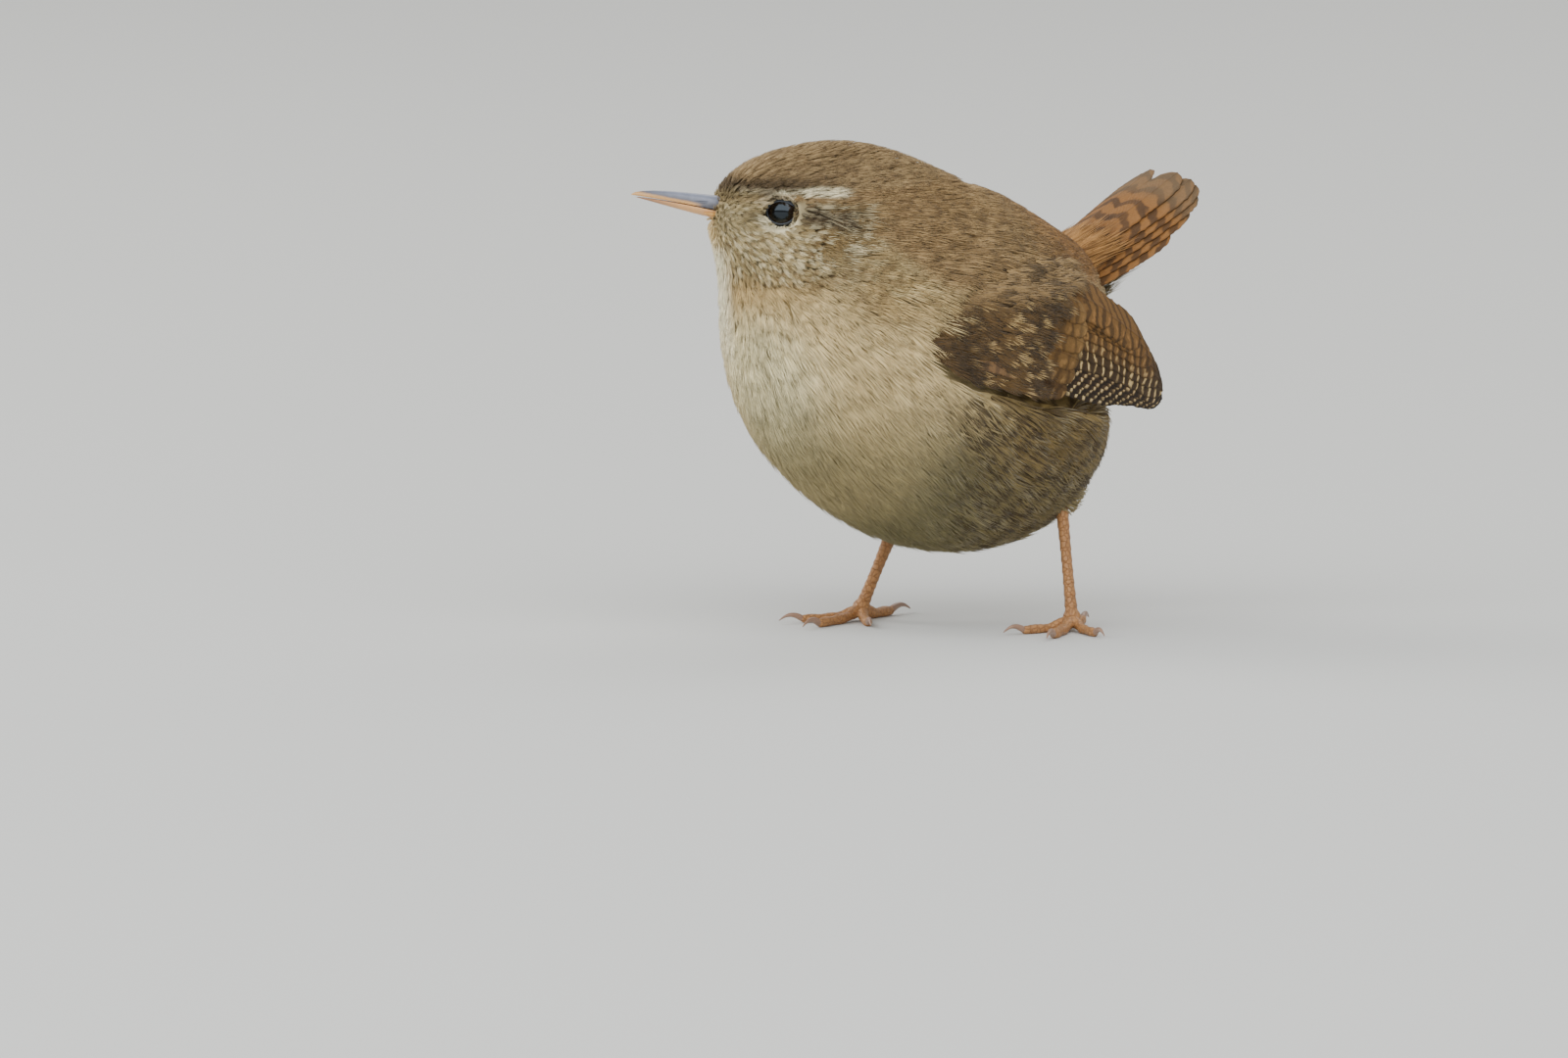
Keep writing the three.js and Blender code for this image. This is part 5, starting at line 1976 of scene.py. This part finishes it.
    def claw(self, toe: Toe, horn: bpy.types.Material) -> None:
        """A curved claw, rounded from its solid and set back into the toe.

        Args:
            toe: The toe that it is on.
            horn: Its material.
        """
        node = f"claw_{toe.name}_{self.side}"
        piece = copy_of([node], f"{node}_horn")
        apply_modifier(piece, "round", "SUBSURF", levels=2, render_levels=2)
        _, axis = self.toe_path(toe, np.array([toe.length]))
        points = points_of(piece) - axis * 0.5 * MM
        piece.data.vertices.foreach_set("co", points.astype(np.float32).ravel())
        piece.data.update()
        only(piece)
        bpy.ops.object.shade_smooth()
        piece.data.materials.append(horn)
        dress(piece, "claw", node)


# Studio


@dataclass
class Studio:
    """A pale floor, soft lights and a camera at the photograph's angle."""

    azimuth: float = 50.0
    elevation: float = 6.0
    pixels_per_mm: float = 7.6
    foot: tuple[float, float] = (933.0, 640.0)
    size: tuple[int, int] = (1600, 1080)
    lens: float = 400.0

    def ways(self) -> tuple[Vector, Vector, Vector]:
        """Right, up and back in the camera's view."""
        a, e = math.radians(self.azimuth), math.radians(self.elevation)
        right = Vector((math.cos(a), math.sin(a), 0))
        back = Vector((math.sin(a) * math.cos(e), -math.cos(a) * math.cos(e), math.sin(e)))
        return right, back.cross(right), back

    def camera(self) -> None:
        """Places the camera so that the frame is the photograph's."""
        right, up, back = self.ways()
        across = (self.size[0] / 2 - self.foot[0]) / self.pixels_per_mm
        high = (self.foot[1] - self.size[1] / 2) / self.pixels_per_mm
        target = (Vector(SHIFT) + right * across + up * high) * MM
        data = bpy.data.cameras.new("camera")
        data.lens = self.lens
        data.sensor_width = 36.0
        distance = self.size[0] / self.pixels_per_mm * MM * self.lens / data.sensor_width
        data.clip_start, data.clip_end = 0.1, 50.0
        rig = bpy.data.objects.new("camera", data)
        rig.location = target + back * distance
        rig.rotation_mode = "QUATERNION"
        rig.rotation_quaternion = back.to_track_quat("Z", "Y")
        bpy.context.collection.objects.link(rig)
        bpy.context.scene.camera = rig

    def lamp(
        self,
        name: str,
        place: tuple[float, float, float],
        size: tuple[float, float],
        power: float,
        tone: tuple[float, float, float],
    ) -> None:
        """A soft light of a width and height, aimed at the bird.

        Args:
            name: Its name.
            place: Where it is, in metres.
            size: Its width and height in metres.
            power: Its power in watts.
            tone: Its colour.
        """
        data = bpy.data.lights.new(name, "AREA")
        data.shape = "RECTANGLE"
        data.size, data.size_y = size
        data.energy, data.color = power, tone
        lamp = bpy.data.objects.new(name, data)
        lamp.location = place
        lamp.rotation_mode = "QUATERNION"
        lamp.rotation_quaternion = (Vector(place) - Vector((0, 0, 0.03))).to_track_quat("Z", "Y")
        bpy.context.collection.objects.link(lamp)

    def build(self) -> None:
        """Makes the floor, the lights and the camera."""
        bpy.ops.object.select_all(action="DESELECT")
        bpy.ops.mesh.primitive_circle_add(vertices=96, radius=2.2, fill_type="NGON", location=(0, 0, 0))
        floor = bpy.context.active_object
        floor.name = "floor"
        bpy.ops.object.mode_set(mode="EDIT")
        bpy.ops.mesh.select_all(action="SELECT")
        bpy.ops.mesh.extrude_region_move(TRANSFORM_OT_translate={"value": (0, 0, -0.02)})
        bpy.ops.mesh.select_all(action="SELECT")
        bpy.ops.mesh.normals_make_consistent(inside=False)
        bpy.ops.object.mode_set(mode="OBJECT")
        dye = Dye("pale studio floor", 0.8)
        dye.colour(dye.mix((0.62, 0.62, 0.60), (0.60, 0.60, 0.585), dye.noise(3.0, 2.0)))
        floor.data.materials.append(dye.material)
        world = bpy.data.worlds.new("soft studio")
        bpy.context.scene.world = world
        world.use_nodes = True
        sky = world.node_tree.nodes["Background"]
        sky.inputs[0].default_value = (0.60, 0.61, 0.60, 1)
        sky.inputs[1].default_value = 0.70
        self.lamp("key light", (0.70, -0.90, 1.15), (4.4, 2.1), 74.0, (0.97, 0.99, 1.0))
        self.lamp("left light", (-1.3, -0.55, 0.75), (0.9, 1.1), 15.0, (1.0, 0.99, 0.96))
        self.lamp("back light", (-0.6, 1.2, 1.3), (1.4, 1.0), 10.0, (1.0, 0.98, 0.95))
        self.camera()


def main() -> None:
    """Builds the bird and its studio in order."""
    logging.basicConfig(level=logging.INFO, format="%(message)s")
    Studio().build()
    skin = Skin()
    skin.build()
    coat = Coat(skin, DownFinish().make(), thin=1.0)
    coat.grow()
    brown, dark, cream = (118, 86, 48), (56, 42, 26), (212, 186, 134)
    finishes = {
        "primaries": VaneFinish(
            "chequered primaries", (76, 58, 40), (40, 31, 22), cream, 2.0, 0.2, 1.0,
            spot_top=(216, 184, 130), slant=-0.3, waver=1.6,
        ).make(),
        "secondaries": VaneFinish(
            "barred secondaries", brown, dark, (216, 186, 130), 1.8, 0.1, 0.95, spot_top=(160, 116, 66),
            bar_depth=0.7, slant=-0.7, waver=2.4, low=(72, 55, 36), fade=(0.05, 0.55), top_share=0.6,
        ).make(),
        "greater_coverts": VaneFinish(
            "mottled greater coverts", (116, 86, 48), dark, (182, 146, 92), 1.9, 0.0, 0.5, spot_top=(150, 112, 66),
            bar_depth=0.55, waver=2.6, low=(84, 62, 38), fade=(0.0, 0.7),
            tip=(178, 142, 90), tip_from=9.5, tip_share=0.35,
        ).make(),
        "median_coverts": MedianCovertFinish().make(),
    }
    for side in ("left", "right"):
        Wing(side, coat).build(finishes)
    tail = Tail()
    tail.vanes(
        VaneFinish(
            "barred tail feathers", (134, 92, 49), (66, 47, 30), (152, 114, 70), 3.3, 0.35, 0.2,
            bar_depth=0.85, scallop=1.7, waver=2.6, tip=(110, 92, 68), tip_from=23.0, tip_share=0.6,
            low=(134, 92, 49), row_shift=1.2, rim=0.04, quill=0.2,
        ).make()
    )
    tail.coverts(coat)
    Bill().build()
    ball, lid = EyeFinish().make(), PlainFinish("dark lid skin", (58, 64, 74), 0.4).make()
    for side in ("left", "right"):
        Eye(side).build(ball, lid, coat)
    skin_of_leg = LegFinish().make()
    claw = PlainFinish("pale brown claw horn", (150, 118, 98), 0.35).make()
    left = Leg("left", foot=(16.6, 13.6), heel=(13.2, 14.4), facing=36, inward=-1, bare=13.6)
    right = Leg("right", foot=(-11, 0), heel=(-7.2, 5.4), facing=18, inward=1, bare=9.2)
    for leg in (left, right):
        leg.build(skin_of_leg, claw)


if __name__ == "__main__":
    main()
